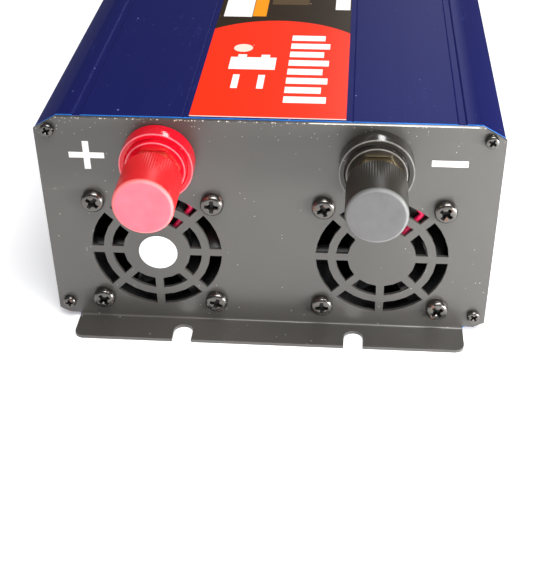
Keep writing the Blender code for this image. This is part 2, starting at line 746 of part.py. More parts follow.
def binding_post(colour):
    x, z = post_centre(colour)
    plastic = f"{colour}_plastic"
    at = (x, 0, z)
    bore = STUD_RADIUS + CLEARANCE
    seat = PLATE_FRONT - CLEARANCE
    flange, boss = POST_FLANGE, POST_BOSS
    neck_end = PLATE_BACK + CLEARANCE
    base = [
        (bore, neck_end),
        (bore, seat - flange[1] - boss[1]),
        (boss[0], seat - flange[1] - boss[1]),
        (boss[0], seat - flange[1]),
        (flange[0] - POST_FLANGE_TAPER, seat - flange[1]),
        (flange[0], seat),
        (POST_NECK, seat),
        (POST_NECK, neck_end),
    ]
    place(f"{colour}_post_base", turned(base, 24, closed=True), plastic, at)

    collar_back = COLLAR_FRONT + STUD_COLLAR[1]
    inside = PLATE_BACK + STUD_INSIDE
    stud = place(f"{colour}_post_stud", turned(rod(STUD_RADIUS, PLATE_FRONT - STUD_REACH, inside), 16), "brass", at)
    boolean(stud, prism(polygon((0, 0), STUD_COLLAR[0]), COLLAR_FRONT, collar_back), "UNION")

    washer_back = PLATE_BACK + CLEARANCE + CLEARANCE
    washer = ring(bore, INNER_WASHER[0], washer_back, washer_back + INNER_WASHER[1])
    place(f"{colour}_inner_washer", turned(washer, 16, closed=True), plastic, at)
    lug_front = washer_back + INNER_WASHER[1] + CLEARANCE
    nut_front = lug_front + LUG[1] + CLEARANCE
    nut = prism(polygon((0, 0), NUT[0]), nut_front, nut_front + NUT[1], [circle((0, 0), bore, 16)])
    place(f"{colour}_post_nut", nut, "zinc_steel", at)
    dc_lead(colour, lug_front)

    knob_back = COLLAR_FRONT - KNOB_OPEN[colour]
    clamp_front = knob_back - KNOB_RECESS[1] + CLEARANCE
    clamp = ring(STUD_RADIUS + 0.0004, KNOB_WASHER[0], clamp_front, clamp_front + KNOB_WASHER[1])
    place(f"{colour}_clamp_washer", turned(clamp, 16, closed=True), "zinc_steel", at)
    place(f"{colour}_knob", knob(), plastic, (x, knob_back, z), smooth=25)


def rod(radius, start, end):
    tip = 0.0008
    return [(0, start), (radius - tip, start), (radius, start + tip), (radius, end - tip), (radius - tip, end), (0, end)]


def ring(inner, outer, low, high):
    return [(inner, low), (outer, low), (outer, high), (inner, high)]


def knob():
    """A ridged cap with a blind bore. Its back face is at the origin and it reaches along -Y."""
    bore = STUD_RADIUS + 0.0004
    end = -KNOB_LENGTH
    profile = [
        (0, -KNOB_BORE_DEPTH),
        (bore, -KNOB_BORE_DEPTH),
        (bore, -KNOB_RECESS[1]),
        (KNOB_RECESS[0], -KNOB_RECESS[1]),
        (KNOB_RECESS[0], 0),
        (KNOB_RADIUS - KNOB_CHAMFER / 2, 0),
        (KNOB_RADIUS, -KNOB_CHAMFER / 2),
        (KNOB_RADIUS, end + KNOB_CHAMFER),
        (KNOB_RADIUS - KNOB_CHAMFER, end),
        (0, end),
    ]
    steps = 2 * KNOB_RIDGES
    bm = turned(profile, steps)
    for vert in bm.verts:
        radius = math.hypot(vert.co.x, vert.co.z)
        column = round(math.atan2(vert.co.z, vert.co.x) / (2 * math.pi / steps))
        if radius > KNOB_RADIUS - 1e-5 and column % 2:
            vert.co.x *= 1 - KNOB_RIDGE_DEPTH / KNOB_RADIUS
            vert.co.z *= 1 - KNOB_RIDGE_DEPTH / KNOB_RADIUS
    return bm


def dc_lead(colour, lug_front):
    """A ring lug on the stud and a thick cable that turns between the fans and runs down to the board."""
    x, z = post_centre(colour)
    inward = 1 if x < 0 else -1
    reach = 0.016
    neck = DC_CABLE * 0.8
    eye = arc((0, 0), LUG[0], math.radians(40), math.radians(320), 14)
    eye += [(reach, -neck), (reach, neck)]
    outline = [(x + inward * u, z + w) for u, w in eye]
    hole = circle((x, z), STUD_RADIUS + CLEARANCE, 16)
    lead = place(f"{colour}_dc_lead", prism(outline, lug_front, lug_front + LUG[1], [hole]), f"{colour}_cable")
    y = lug_front + LUG[1] / 2
    behind = FAN_FRONT + BOARD_FRONT + 0.016
    mid = abs(x) - reach
    route = [
        (x + inward * (reach - 0.004), y, z),
        (x + inward * (reach + 0.004), y, z),
        (x + inward * mid, y + 0.004, z + 0.0005),
        (-inward * 0.011, y + 0.012, z - 0.002),
        (-inward * 0.0085, y + 0.024, z - 0.010),
        (-inward * 0.0085, y + 0.034, z - 0.026),
        (-inward * 0.0085, behind - 0.001, z - 0.045),
        (-inward * 0.0085, behind, BOARD_TOP + CLEARANCE),
    ]
    boolean(lead, tube(route, DC_CABLE), "UNION")


# ---------------------------------------------------------------- electronics
def electronics():
    width = INNER_WALL - BOARD_SIDE_GAP
    front, back = -HALF_LENGTH + BOARD_FRONT, HALF_LENGTH - BOARD_BACK
    place("main_board", box((-width, front, BOARD_BOTTOM), (width, back, BOARD_TOP)), "circuit_board")
    for side, sign in (("left", -1), ("right", 1)):
        heatsink(side, sign)
    transformer()
    can("bus_capacitor", (0.034, -0.020), 0.015, 0.045)
    can("input_capacitor_left", (-0.034, -0.076), 0.009, 0.036)
    can("input_capacitor_right", (0.034, -0.076), 0.009, 0.036)
    choke_profile = circle((0.0120, 0.0), 0.0065, 8)
    standing = BOARD_TOP + CLEARANCE + 0.0066
    choke = place("output_choke", turned(choke_profile, 16, axis="Z", closed=True), "copper_wire", smooth=60)
    choke.location = (0.034, 0.034, standing)


def heatsink(side, sign):
    """An aluminium bar against the side wall, with a row of transistors clamped to it by a strip."""
    thick, high, length = HEATSINK
    outer = HALF_WIDTH - RAIL_THICKNESS - CLEARANCE
    bottom = BOARD_TOP + CLEARANCE + BOARD_LEDGE[1] + CLEARANCE
    bar = box((outer - thick, -length / 2, bottom), (outer, length / 2, bottom + high))
    package, wide, tall = TRANSISTOR
    face = outer - thick - CLEARANCE
    lap = 0.0002
    strip_low = bottom + 0.008
    strip = box(
        (face - package - CLAMP_STRIP[0], -length / 2 + 0.004, strip_low),
        (face - package + lap, length / 2 - 0.004, strip_low + CLAMP_STRIP[1]),
    )
    if sign < 0:
        for bm in (bar, strip):
            bmesh.ops.rotate(bm, verts=bm.verts, cent=(0, 0, 0), matrix=Matrix.Rotation(math.pi, 3, "Z"))
    place(f"{side}_heatsink", bar, "aluminium")
    bank = place(f"{side}_transistor_bank", strip, "epoxy")
    pitch = length / TRANSISTORS
    for i in range(TRANSISTORS):
        y = (i - (TRANSISTORS - 1) / 2) * pitch
        low = BOARD_TOP + 0.006
        body = box((face - package, y - wide / 2, low), (face, y + wide / 2, low + tall))
        if sign < 0:
            bmesh.ops.rotate(body, verts=body.verts, cent=(0, 0, 0), matrix=Matrix.Rotation(math.pi, 3, "Z"))
        boolean(bank, body, "UNION")


def transformer():
    """A two-window ferrite core with one winding block on its centre leg."""
    place_x, place_y, depth = -0.028, 0.010, 0.022
    low = BOARD_TOP + CLEARANCE
    wide, high, leg = 0.056, 0.046, 0.0085
    centre_leg = 0.017
    window = (wide - 2 * leg - centre_leg) / 2
    middle = low + high / 2
    offset = centre_leg / 2 + window / 2
    windows = [
        rectangle((place_x + side * offset, middle), window, high - 2 * leg) for side in (-1, 1)
    ]
    core = prism(
        rectangle((place_x, middle), wide, high), place_y - depth / 2, place_y + depth / 2, windows
    )
    place("transformer_core", core, "ferrite")
    around = window - 2 * CLEARANCE
    outline = rounded_rectangle(
        (place_x, place_y), centre_leg + 2 * around + 2 * CLEARANCE, depth + 2 * around, around * 0.6, 4
    )
    hole = rectangle((place_x, place_y), centre_leg + 2 * CLEARANCE, depth + 2 * CLEARANCE)
    gap = leg + CLEARANCE
    place("transformer_winding", prism(outline, low + gap, low + high - gap, [hole], axis="Z"), "winding_tape")


def can(name, spot, radius, height):
    """An upright capacitor: a sleeved can with a rolled groove near its foot."""
    edge = 0.0012
    profile = [
        (0, 0),
        (radius - edge, 0),
        (radius, edge),
        (radius, 0.003),
        (radius - edge / 2, 0.004),
        (radius, 0.005),
        (radius, height - edge),
        (radius - edge, height),
        (0, height),
    ]
    where = (*spot, BOARD_TOP + CLEARANCE)
    place(name, turned(profile, 16, axis="Z"), "capacitor_sleeve", where)


# ---------------------------------------------------------------- mains end
def outlet(side, x):
    """A socket for several plug shapes: a bezel outside the plate, a body through it, and three deep pin holes."""
    face = -PLATE_FRONT + CLEARANCE
    front, back = face + OUTLET_BEZEL, face - OUTLET_DEPTH
    lap = 0.0002
    centre = (x, OUTLET_HEIGHT)
    bezel = prism(rounded_rectangle(centre, OUTLET_FACE, OUTLET_FACE, 0.004, 4), face, front)
    socket = place(f"{side}_outlet", bezel, "outlet_plastic", smooth=30)
    body = prism(rectangle(centre, OUTLET_BODY, OUTLET_BODY), back, face + lap)
    boolean(socket, body, "UNION")
    deep = front - 0.019
    pins = [
        prism(rounded_rectangle((x, OUTLET_HEIGHT + 0.0115), 0.0086, 0.0066, 0.002), deep, front + 0.001),
        prism(rounded_rectangle((x - 0.0095, OUTLET_HEIGHT - 0.005), 0.0080, 0.0090, 0.002), deep, front + 0.001),
        prism(rounded_rectangle((x + 0.0095, OUTLET_HEIGHT - 0.005), 0.0080, 0.0090, 0.002), deep, front + 0.001),
    ]
    boolean(socket, merged(*pins), "DIFFERENCE")


def switch():
    x, z = SWITCH_PLACE
    face = -PLATE_FRONT + CLEARANCE
    front = face + SWITCH_BEZEL
    lap = 0.0002
    housing = place("switch_housing", prism(rounded_rectangle((x, z), *SWITCH_FACE, 0.002), face, front), "black_plastic")
    boolean(housing, prism(rectangle((x, z), *SWITCH_BODY), face - SWITCH_DEPTH, face + lap), "UNION")
    well_w, well_h, well_d = SWITCH_WELL
    boolean(housing, prism(rectangle((x, z), well_w, well_h), front - well_d, front + 0.001), "DIFFERENCE")
    rocker(x, front, z)


def rocker(x, front, z):
    """The rocker's side view is a shallow V over a round belly. Its origin is on its pivot."""
    width, high = ROCKER
    half = high / 2
    rise = half * math.sin(ROCKER_TILT)
    belly = 0.0045
    ridge = 0.0022
    profile = [(ridge + rise, half), (ridge, 0), (ridge + rise, -half), (-0.001, -half)]
    profile += arc((0, 0), belly, math.radians(250), math.radians(110), 8)
    profile.append((-0.001, half))
    bm = prism(profile, -width / 2, width / 2, axis="X")
    piece = place("switch_rocker", bm, "switch_red", smooth=30)
    piece.location = (x, front, z)
    piece.rotation_euler = (ROCKER_TILT, 0, 0)


def lamp(name, x, finish_name):
    """A small indicator with a domed lens outside the plate."""
    face = -PLATE_FRONT + CLEARANCE
    dome = [(r, face + 0.0012 + a) for r, a in arc((0, 0), LAMP_RADIUS, math.pi / 2, 0, 5)]
    profile = [(0, face + 0.0012 + LAMP_RADIUS), *dome[1:]]
    profile += [
        (LAMP_RADIUS + 0.0008, face + 0.0008),
        (LAMP_RADIUS + 0.0008, face),
        (LAMP_RADIUS, face),
        (LAMP_RADIUS, face - 0.008),
        (0, face - 0.008),
    ]
    place(name, turned(profile, 14), finish_name, (x, 0, LAMP_HEIGHT), smooth=50)


def mains_end():
    for side, x in OUTLET_PLACES.items():
        outlet(side, x)
    switch()
    lamp("power_lamp", LAMP_PLACES["power_lamp"], "green_lens")
    lamp("fault_lamp", LAMP_PLACES["fault_lamp"], "red_lens")


# ---------------------------------------------------------------- labels
def labels():
    low = CASE_HEIGHT + ADHESIVE
    half, end = LABEL_WIDTH / 2, HALF_LENGTH - LABEL_MARGIN
    place("top_label", box((-half, -end, low), (half, end, low + LABEL_THICKNESS)), "label_print")
    x, z = fan_centres()["left"]
    centre = (x + STICKER_OFFSET[0], z + STICKER_OFFSET[1])
    back = PLATE_FRONT - ADHESIVE
    sticker = prism(circle(centre, STICKER_RADIUS, 24), back - LABEL_THICKNESS, back)
    place("inspection_sticker", sticker, "white_paper")


def main():
    clear_scene()
    upper_shell()
    lower_shell()
    front_plate()
    rear_plate()
    screws()
    fans()
    for colour in KNOB_OPEN:
        binding_post(colour)
    electronics()
    mains_end()
    labels()


main()
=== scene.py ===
# %% [markdown] # A power inverter, dressed in its real finishes The object is a box that turns battery current into
# mains current. Its case is two blue aluminium extrusions, closed at each end by a black steel plate. The
# engineering model is already built, in model.glb, so this notebook only dresses it: it gives every piece its real
# edges, surface and colour, and then sets the floor, lights and camera.

# %% Load the model
import math

import bpy
from mathutils import Matrix, Vector


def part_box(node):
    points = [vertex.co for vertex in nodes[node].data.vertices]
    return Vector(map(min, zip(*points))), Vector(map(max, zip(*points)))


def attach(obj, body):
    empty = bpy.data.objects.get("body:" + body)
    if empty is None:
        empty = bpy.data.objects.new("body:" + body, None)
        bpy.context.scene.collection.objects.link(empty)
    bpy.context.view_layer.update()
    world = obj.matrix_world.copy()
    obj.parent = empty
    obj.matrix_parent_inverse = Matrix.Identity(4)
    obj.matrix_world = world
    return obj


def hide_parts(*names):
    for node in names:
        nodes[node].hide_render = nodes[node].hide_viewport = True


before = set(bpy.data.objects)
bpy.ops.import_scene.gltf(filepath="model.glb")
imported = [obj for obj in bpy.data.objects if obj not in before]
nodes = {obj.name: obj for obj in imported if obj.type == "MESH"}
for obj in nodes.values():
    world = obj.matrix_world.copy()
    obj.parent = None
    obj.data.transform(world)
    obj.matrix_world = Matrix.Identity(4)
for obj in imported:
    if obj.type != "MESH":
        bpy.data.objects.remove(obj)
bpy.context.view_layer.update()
MM = 0.001
bpy.context.scene.view_settings.view_transform = "Standard"


# %% Where things are
def middle(node):
    low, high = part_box(node)
    return (low + high) / 2


case_low, case_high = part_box("upper_shell")
SHEET = 1.5 * MM
GAP = 0.3 * MM
front_face = case_low.y - GAP - SHEET
rear_face = case_high.y + GAP + SHEET
plate_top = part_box("front_plate")[1].z
print("plate faces at", round(front_face, 5), round(rear_face, 5), "case top at", round(case_high.z, 4))

# %% [markdown]
# ## The camera, the floor and the light
#
# The camera stands a little to the right of the battery end and well above it, with a short telephoto lens, so the
# box tapers away gently. A camera could be aimed with a Track To constraint. Here its three axes are worked
# out from a heading, a dip and a small roll, because a hand-held camera is never quite level.


# %% Camera
def camera_turn(heading, dip, roll):
    """The camera's rotation. Heading is from +Y towards +X, dip is below the horizon, all in degrees."""
    heading, dip, roll = map(math.radians, (heading, dip, roll))
    forward = Vector((math.sin(heading) * math.cos(dip), math.cos(heading) * math.cos(dip), -math.sin(dip)))
    level = Vector((math.cos(heading), -math.sin(heading), 0))
    up = level.cross(forward)
    right = level * math.cos(roll) + up * math.sin(roll)
    up = up * math.cos(roll) - level * math.sin(roll)
    return Matrix((right, up, -forward)).transposed()


lens = bpy.data.cameras.new("camera")
lens.lens = 69.66
lens.sensor_width = 36
lens.clip_start = 0.01
camera = bpy.data.objects.new("camera", lens)
bpy.context.scene.collection.objects.link(camera)
camera.location = (0.03405, front_face - 0.38247, 0.29875)
camera.rotation_euler = camera_turn(-4.76, 35.65, -0.70).to_euler()
bpy.context.scene.camera = camera
print("camera at", [round(x, 3) for x in camera.location])

# %% [markdown]
# A white floor that glows a little and a white sky stand in for a photographer's light table. The large soft lamp
# above the battery end draws the highlights on the screws. A second one, low and close on the right, makes the black
# plate brighten from left to right, as light falls off with distance. The third, behind and above, draws the long
# highlights on the round posts. All three are hidden from the camera, so no view from any side shows a lamp.


# %% Floor and lights
def deselect():
    if bpy.context.mode != "OBJECT":
        bpy.ops.object.mode_set(mode="OBJECT")
    bpy.ops.object.select_all(action="DESELECT")


deselect()
bpy.ops.mesh.primitive_plane_add(size=40)
floor = bpy.context.object
floor.name = "light_table"

paper = bpy.data.materials.new("white_table")
paper.use_nodes = True
sheen = paper.node_tree.nodes["Principled BSDF"]
sheen.inputs["Roughness"].default_value = 0.6
mottle = paper.node_tree.nodes.new("ShaderNodeTexNoise")
mottle.inputs["Scale"].default_value = 3.0
tone = paper.node_tree.nodes.new("ShaderNodeMapRange")
tone.inputs["To Min"].default_value = 0.86
tone.inputs["To Max"].default_value = 0.90
paper.node_tree.links.new(mottle.outputs["Fac"], tone.inputs["Value"])
paper.node_tree.links.new(tone.outputs["Result"], sheen.inputs["Base Color"])
sheen.inputs["Emission Color"].default_value = (1, 1, 1, 1)
sheen.inputs["Emission Strength"].default_value = 0.38
floor.data.materials.append(paper)


def soft_lamp(name, place, target, size, power, colour=(1, 1, 1)):
    light = bpy.data.lights.new(name, "AREA")
    light.shape = "RECTANGLE"
    light.size, light.size_y = size
    light.energy = power
    light.color = colour
    lamp = bpy.data.objects.new(name, light)
    bpy.context.scene.collection.objects.link(lamp)
    lamp.location = place
    lamp.rotation_euler = (Vector(target) - Vector(place)).to_track_quat("-Z", "Y").to_euler()
    lamp.visible_camera = False
    return lamp


soft_lamp("key_softbox", (0.3, -0.6, 1.15), (0, -0.05, 0.05), (0.9, 0.5), 21)
soft_lamp("low_right_softbox", (0.34, -0.33, 0.06), (0.05, -0.17, 0.0), (0.24, 0.10), 2.6)
soft_lamp("rear_strip", (0.26, 1.5, 1.00), (0.0, -0.15, 0.08), (0.30, 0.24), 3.3)
sky = bpy.data.worlds.new("white_sky")
sky.use_nodes = True
sky.node_tree.nodes["Background"].inputs["Color"].default_value = (1, 1, 1, 1)
sky.node_tree.nodes["Background"].inputs["Strength"].default_value = 0.16
bpy.context.scene.world = sky
print("floor, three soft lamps and a white sky")

# %% [markdown]
# ## Shared surface effects
#
# Paint, plastic and anodised metal all carry the same kinds of small marks: a fine grain, specks of dust, hairline
# scratches, and printed shapes. Each of these is a node group that is built once. A material then places the groups
# it needs and gives each one its own numbers. The groups read Object coordinates, so one unit is one metre.


# %% A helper that starts a node group
def start_group(name, inputs, outputs):
    group = bpy.data.node_groups.new(name, "ShaderNodeTree")
    for label, kind, value in inputs:
        socket = group.interface.new_socket(label, in_out="INPUT", socket_type=kind)
        if value is not None:
            socket.default_value = value
    for label, kind in outputs:
        group.interface.new_socket(label, in_out="OUTPUT", socket_type=kind)
    return group, group.nodes.new("NodeGroupInput"), group.nodes.new("NodeGroupOutput")


def math_node(tree, operation, first, second=None):
    """One sum, with sockets or plain numbers for its inputs. Returns its result."""
    made = tree.nodes.new("ShaderNodeMath")
    made.operation = operation
    for slot, value in enumerate((first, second)):
        if isinstance(value, (int, float)):
            made.inputs[slot].default_value = value
        elif value is not None:
            tree.links.new(value, made.inputs[slot])
    return made.outputs[0]


FLOAT, VECTOR = "NodeSocketFloat", "NodeSocketVector"


# %% Grain: two sizes of noise, for colour and for height
grain, given, result = start_group(
    "fine grain",
    [("Vector", VECTOR, None), ("Stretch", VECTOR, (1, 1, 1)), ("Scale", FLOAT, 900.0)],
    [("Variation", FLOAT), ("Height", FLOAT)],
)
stretched = grain.nodes.new("ShaderNodeVectorMath")
stretched.operation = "MULTIPLY"
grain.links.new(given.outputs["Vector"], stretched.inputs[0])
grain.links.new(given.outputs["Stretch"], stretched.inputs[1])
fine = grain.nodes.new("ShaderNodeTexNoise")
fine.inputs["Detail"].default_value = 3.0
coarse = grain.nodes.new("ShaderNodeTexNoise")
coarse.inputs["Detail"].default_value = 4.0
grain.links.new(stretched.outputs[0], fine.inputs["Vector"])
grain.links.new(stretched.outputs[0], coarse.inputs["Vector"])
grain.links.new(given.outputs["Scale"], fine.inputs["Scale"])
grain.links.new(math_node(grain, "MULTIPLY", given.outputs["Scale"], 0.06), coarse.inputs["Scale"])
fine_share = math_node(grain, "MULTIPLY", fine.outputs["Fac"], 0.4)
coarse_share = math_node(grain, "MULTIPLY", coarse.outputs["Fac"], 0.6)
mixed = math_node(grain, "ADD", fine_share, coarse_share)
grain.links.new(mixed, result.inputs["Variation"])
grain.links.new(fine.outputs["Fac"], result.inputs["Height"])
print("group:", grain.name)

# %% Dust: a few cells of a Voronoi pattern hold a bright speck, and the rest are empty
dust, given, result = start_group(
    "dust specks",
    [("Vector", VECTOR, None), ("Scale", FLOAT, 260.0), ("Amount", FLOAT, 0.1), ("Size", FLOAT, 0.12)],
    [("Mask", FLOAT)],
)
cells = dust.nodes.new("ShaderNodeTexVoronoi")
dust.links.new(given.outputs["Vector"], cells.inputs["Vector"])
dust.links.new(given.outputs["Scale"], cells.inputs["Scale"])
chance = dust.nodes.new("ShaderNodeSeparateColor")
dust.links.new(cells.outputs["Color"], chance.inputs["Color"])
present = math_node(dust, "LESS_THAN", chance.outputs["Red"], given.outputs["Amount"])
reach = math_node(dust, "MULTIPLY", given.outputs["Size"], math_node(dust, "ADD", chance.outputs["Green"], 0.35))
close = math_node(dust, "SUBTRACT", 1.0, math_node(dust, "DIVIDE", cells.outputs["Distance"], reach))
soft = math_node(dust, "MINIMUM", math_node(dust, "MULTIPLY", math_node(dust, "MAXIMUM", close, 0.0), 3.0), 1.0)
dust.links.new(math_node(dust, "MULTIPLY", soft, present), result.inputs["Mask"])
print("group:", dust.name)

# %% Scratches: thin lines where a stretched noise crosses its middle value, kept only in patches
scratch, given, result = start_group(
    "hairline scratches",
    [("Vector", VECTOR, None), ("Stretch", VECTOR, (40, 3, 40)), ("Width", FLOAT, 0.004), ("Amount", FLOAT, 0.5)],
    [("Mask", FLOAT)],
)
drawn = scratch.nodes.new("ShaderNodeVectorMath")
drawn.operation = "MULTIPLY"
scratch.links.new(given.outputs["Vector"], drawn.inputs[0])
scratch.links.new(given.outputs["Stretch"], drawn.inputs[1])
lines = scratch.nodes.new("ShaderNodeTexNoise")
lines.inputs["Scale"].default_value = 6.0
lines.inputs["Detail"].default_value = 2.0
scratch.links.new(drawn.outputs[0], lines.inputs["Vector"])
patches = scratch.nodes.new("ShaderNodeTexNoise")
patches.inputs["Scale"].default_value = 35.0
scratch.links.new(given.outputs["Vector"], patches.inputs["Vector"])
off_middle = math_node(scratch, "ABSOLUTE", math_node(scratch, "SUBTRACT", lines.outputs["Fac"], 0.5))
on_line = math_node(scratch, "LESS_THAN", off_middle, given.outputs["Width"])
threshold = math_node(scratch, "SUBTRACT", 1.0, given.outputs["Amount"])
in_patch = math_node(scratch, "GREATER_THAN", patches.outputs["Fac"], threshold)
scratch.links.new(math_node(scratch, "MULTIPLY", on_line, in_patch), result.inputs["Mask"])
print("group:", scratch.name)


# %% Printing: a filled box and a ring, each with a crisp edge
INK_EDGE = 0.15 * MM


def soft_step(tree, distance, softness):
    """1 where the distance is below zero, falling to 0 over the softness."""
    scaled = math_node(tree, "DIVIDE", distance, softness)
    return math_node(tree, "MINIMUM", math_node(tree, "MAXIMUM", math_node(tree, "SUBTRACT", 0.5, scaled), 0.0), 1.0)


block, given, result = start_group(
    "printed block",
    [("Vector", VECTOR, None), ("Centre", VECTOR, (0, 0, 0)), ("Half Size", VECTOR, (0.01, 0.01, 0.01))],
    [("Mask", FLOAT)],
)
offset = block.nodes.new("ShaderNodeVectorMath")
offset.operation = "SUBTRACT"
block.links.new(given.outputs["Vector"], offset.inputs[0])
block.links.new(given.outputs["Centre"], offset.inputs[1])
folded = block.nodes.new("ShaderNodeVectorMath")
folded.operation = "ABSOLUTE"
block.links.new(offset.outputs[0], folded.inputs[0])
beyond = block.nodes.new("ShaderNodeVectorMath")
beyond.operation = "SUBTRACT"
block.links.new(folded.outputs[0], beyond.inputs[0])
block.links.new(given.outputs["Half Size"], beyond.inputs[1])
parts = block.nodes.new("ShaderNodeSeparateXYZ")
block.links.new(beyond.outputs[0], parts.inputs[0])
farther = math_node(block, "MAXIMUM", parts.outputs[0], parts.outputs[1])
farthest = math_node(block, "MAXIMUM", farther, parts.outputs[2])
block.links.new(soft_step(block, farthest, INK_EDGE), result.inputs["Mask"])

band, given, result = start_group(
    "printed ring",
    [
        ("Vector", VECTOR, None),
        ("Centre", VECTOR, (0, 0, 0)),
        ("Flatten", VECTOR, (1, 1, 0)),
        ("Radius", FLOAT, 0.01),
        ("Half Width", FLOAT, 0.01),
    ],
    [("Mask", FLOAT)],
)
offset = band.nodes.new("ShaderNodeVectorMath")
offset.operation = "SUBTRACT"
band.links.new(given.outputs["Vector"], offset.inputs[0])
band.links.new(given.outputs["Centre"], offset.inputs[1])
flat = band.nodes.new("ShaderNodeVectorMath")
flat.operation = "MULTIPLY"
band.links.new(offset.outputs[0], flat.inputs[0])
band.links.new(given.outputs["Flatten"], flat.inputs[1])
length = band.nodes.new("ShaderNodeVectorMath")
length.operation = "LENGTH"
band.links.new(flat.outputs[0], length.inputs[0])
from_line = math_node(band, "ABSOLUTE", math_node(band, "SUBTRACT", length.outputs["Value"], given.outputs["Radius"]))
past_line = math_node(band, "SUBTRACT", from_line, given.outputs["Half Width"])
band.links.new(soft_step(band, past_line, INK_EDGE), result.inputs["Mask"])
print("groups:", block.name, "and", band.name)

# %% [markdown]
# ## A finish is built in layers
#
# A painter lays one coat over another, and masks what should stay bare. The `Finish` class does the same with nodes:
# it starts from a base colour and roughness, and each `cover` lays a new colour over it through a mask. Only what
# varies is wired. A number that is the same all over goes straight onto the shader's own socket.


# %% The Finish class
def srgb(red, green, blue):
    """A colour as a paint chart gives it, from 0 to 255, turned into the renderer's linear values."""
    linear = [c / 255 / 12.92 if c < 11 else ((c / 255 + 0.055) / 1.055) ** 2.4 for c in (red, green, blue)]
    return (*linear, 1.0)


class Finish:
    def __init__(self, name, colour, roughness, metallic=0.0):
        self.material = bpy.data.materials.new(name)
        self.material.use_nodes = True
        self.tree = self.material.node_tree
        self.shader = self.tree.nodes["Principled BSDF"]
        self.place = self.tree.nodes.new("ShaderNodeTexCoord").outputs["Object"]
        self.now = {"Base Color": colour, "Roughness": roughness, "Metallic": metallic}
        self.normal = None
        for socket, value in self.now.items():
            self.shader.inputs[socket].default_value = value

    def effect(self, group, **values):
        """Places a shared group, reading this piece's own place, with values for its named inputs."""
        made = self.tree.nodes.new("ShaderNodeGroup")
        made.node_tree = group
        self.tree.links.new(self.place, made.inputs["Vector"])
        for label, value in values.items():
            made.inputs[label.replace("_", " ")].default_value = value
        return made.outputs

    def cover(self, mask, colour=None, roughness=None, metallic=None):
        """Lays a coat over what is there so far, where the mask is 1."""
        for socket, value in (("Base Color", colour), ("Roughness", roughness), ("Metallic", metallic)):
            if value is None:
                continue
            mix = self.tree.nodes.new("ShaderNodeMix")
            mix.data_type = "RGBA" if socket == "Base Color" else "FLOAT"
            under, over, out = (6, 7, 2) if socket == "Base Color" else (2, 3, 0)
            self.tree.links.new(mask, mix.inputs[0])
            if isinstance(self.now[socket], bpy.types.NodeSocket):
                self.tree.links.new(self.now[socket], mix.inputs[under])
            else:
                mix.inputs[under].default_value = self.now[socket]
            mix.inputs[over].default_value = value
            self.now[socket] = mix.outputs[out]
            self.tree.links.new(mix.outputs[out], self.shader.inputs[socket])
        return self

    def raised(self, height, distance, strength=1.0):
        """Adds relief from a height, on top of any relief already there."""
        bump = self.tree.nodes.new("ShaderNodeBump")
        bump.inputs["Distance"].default_value = distance
        bump.inputs["Strength"].default_value = strength
        self.tree.links.new(height, bump.inputs["Height"])
        if self.normal is not None:
            self.tree.links.new(self.normal, bump.inputs["Normal"])
        self.normal = bump.outputs["Normal"]
        self.tree.links.new(self.normal, self.shader.inputs["Normal"])
        return self

    def scaled(self, mask, factor):
        return math_node(self.tree, "MULTIPLY", mask, factor)

    def either(self, *masks):
        both = masks[0]
        for mask in masks[1:]:
            both = math_node(self.tree, "MAXIMUM", both, mask)
        return both

    def set(self, **values):
        for label, value in values.items():
            self.shader.inputs[label.replace("_", " ")].default_value = value
        return self


print("ready to mix finishes")

# %% [markdown]
# ## Modelling helpers
#
# Real parts have no knife edges: sheet steel is deburred, castings have fillets, and turned plastic has small
# radii. A bevelled edge a fifth of a millimetre wide is enough to catch the light. For pieces whose shape is already
# right, a copy is merged from triangles back into whole faces and its edges are bevelled. Round pieces are turned
# from a circle that is extruded and scaled along its profile, as a lathe hand would read it from a drawing.


# %% Copying, turning, softening and placing
def activate(piece):
    deselect()
    piece.select_set(True)
    bpy.context.view_layer.objects.active = piece
    return piece


def whole_faces(node, name=None):
    """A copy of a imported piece, with its triangles merged into whole faces."""
    piece = bpy.data.objects.new(name or f"fine_{node}", nodes[node].data.copy())
    piece.data.name = piece.name
    piece.data.materials.clear()
    bpy.context.scene.collection.objects.link(piece)
    activate(piece)
    bpy.ops.object.mode_set(mode="EDIT")
    bpy.ops.mesh.select_all(action="SELECT")
    bpy.ops.mesh.remove_doubles(threshold=0.000005)
    bpy.ops.mesh.dissolve_limited(angle_limit=math.radians(0.5))
    bpy.ops.object.mode_set(mode="OBJECT")
    return piece


def soften(piece, width, segments=2, angle=30):
    """Rounds every edge sharper than the angle, then smooths the shading and lets the large faces stay flat."""
    activate(piece)
    if width:
        edge = piece.modifiers.new("edges", "BEVEL")
        edge.limit_method = "ANGLE"
        edge.angle_limit = math.radians(angle)
        edge.width = width
        edge.segments = segments
        bpy.ops.object.modifier_apply(modifier=edge.name)
    bpy.ops.object.shade_smooth_by_angle(angle=math.radians(angle + 5))
    even = piece.modifiers.new("even", "WEIGHTED_NORMAL")
    even.weight = 100
    even.keep_sharp = True
    bpy.ops.object.modifier_apply(modifier=even.name)
    return piece


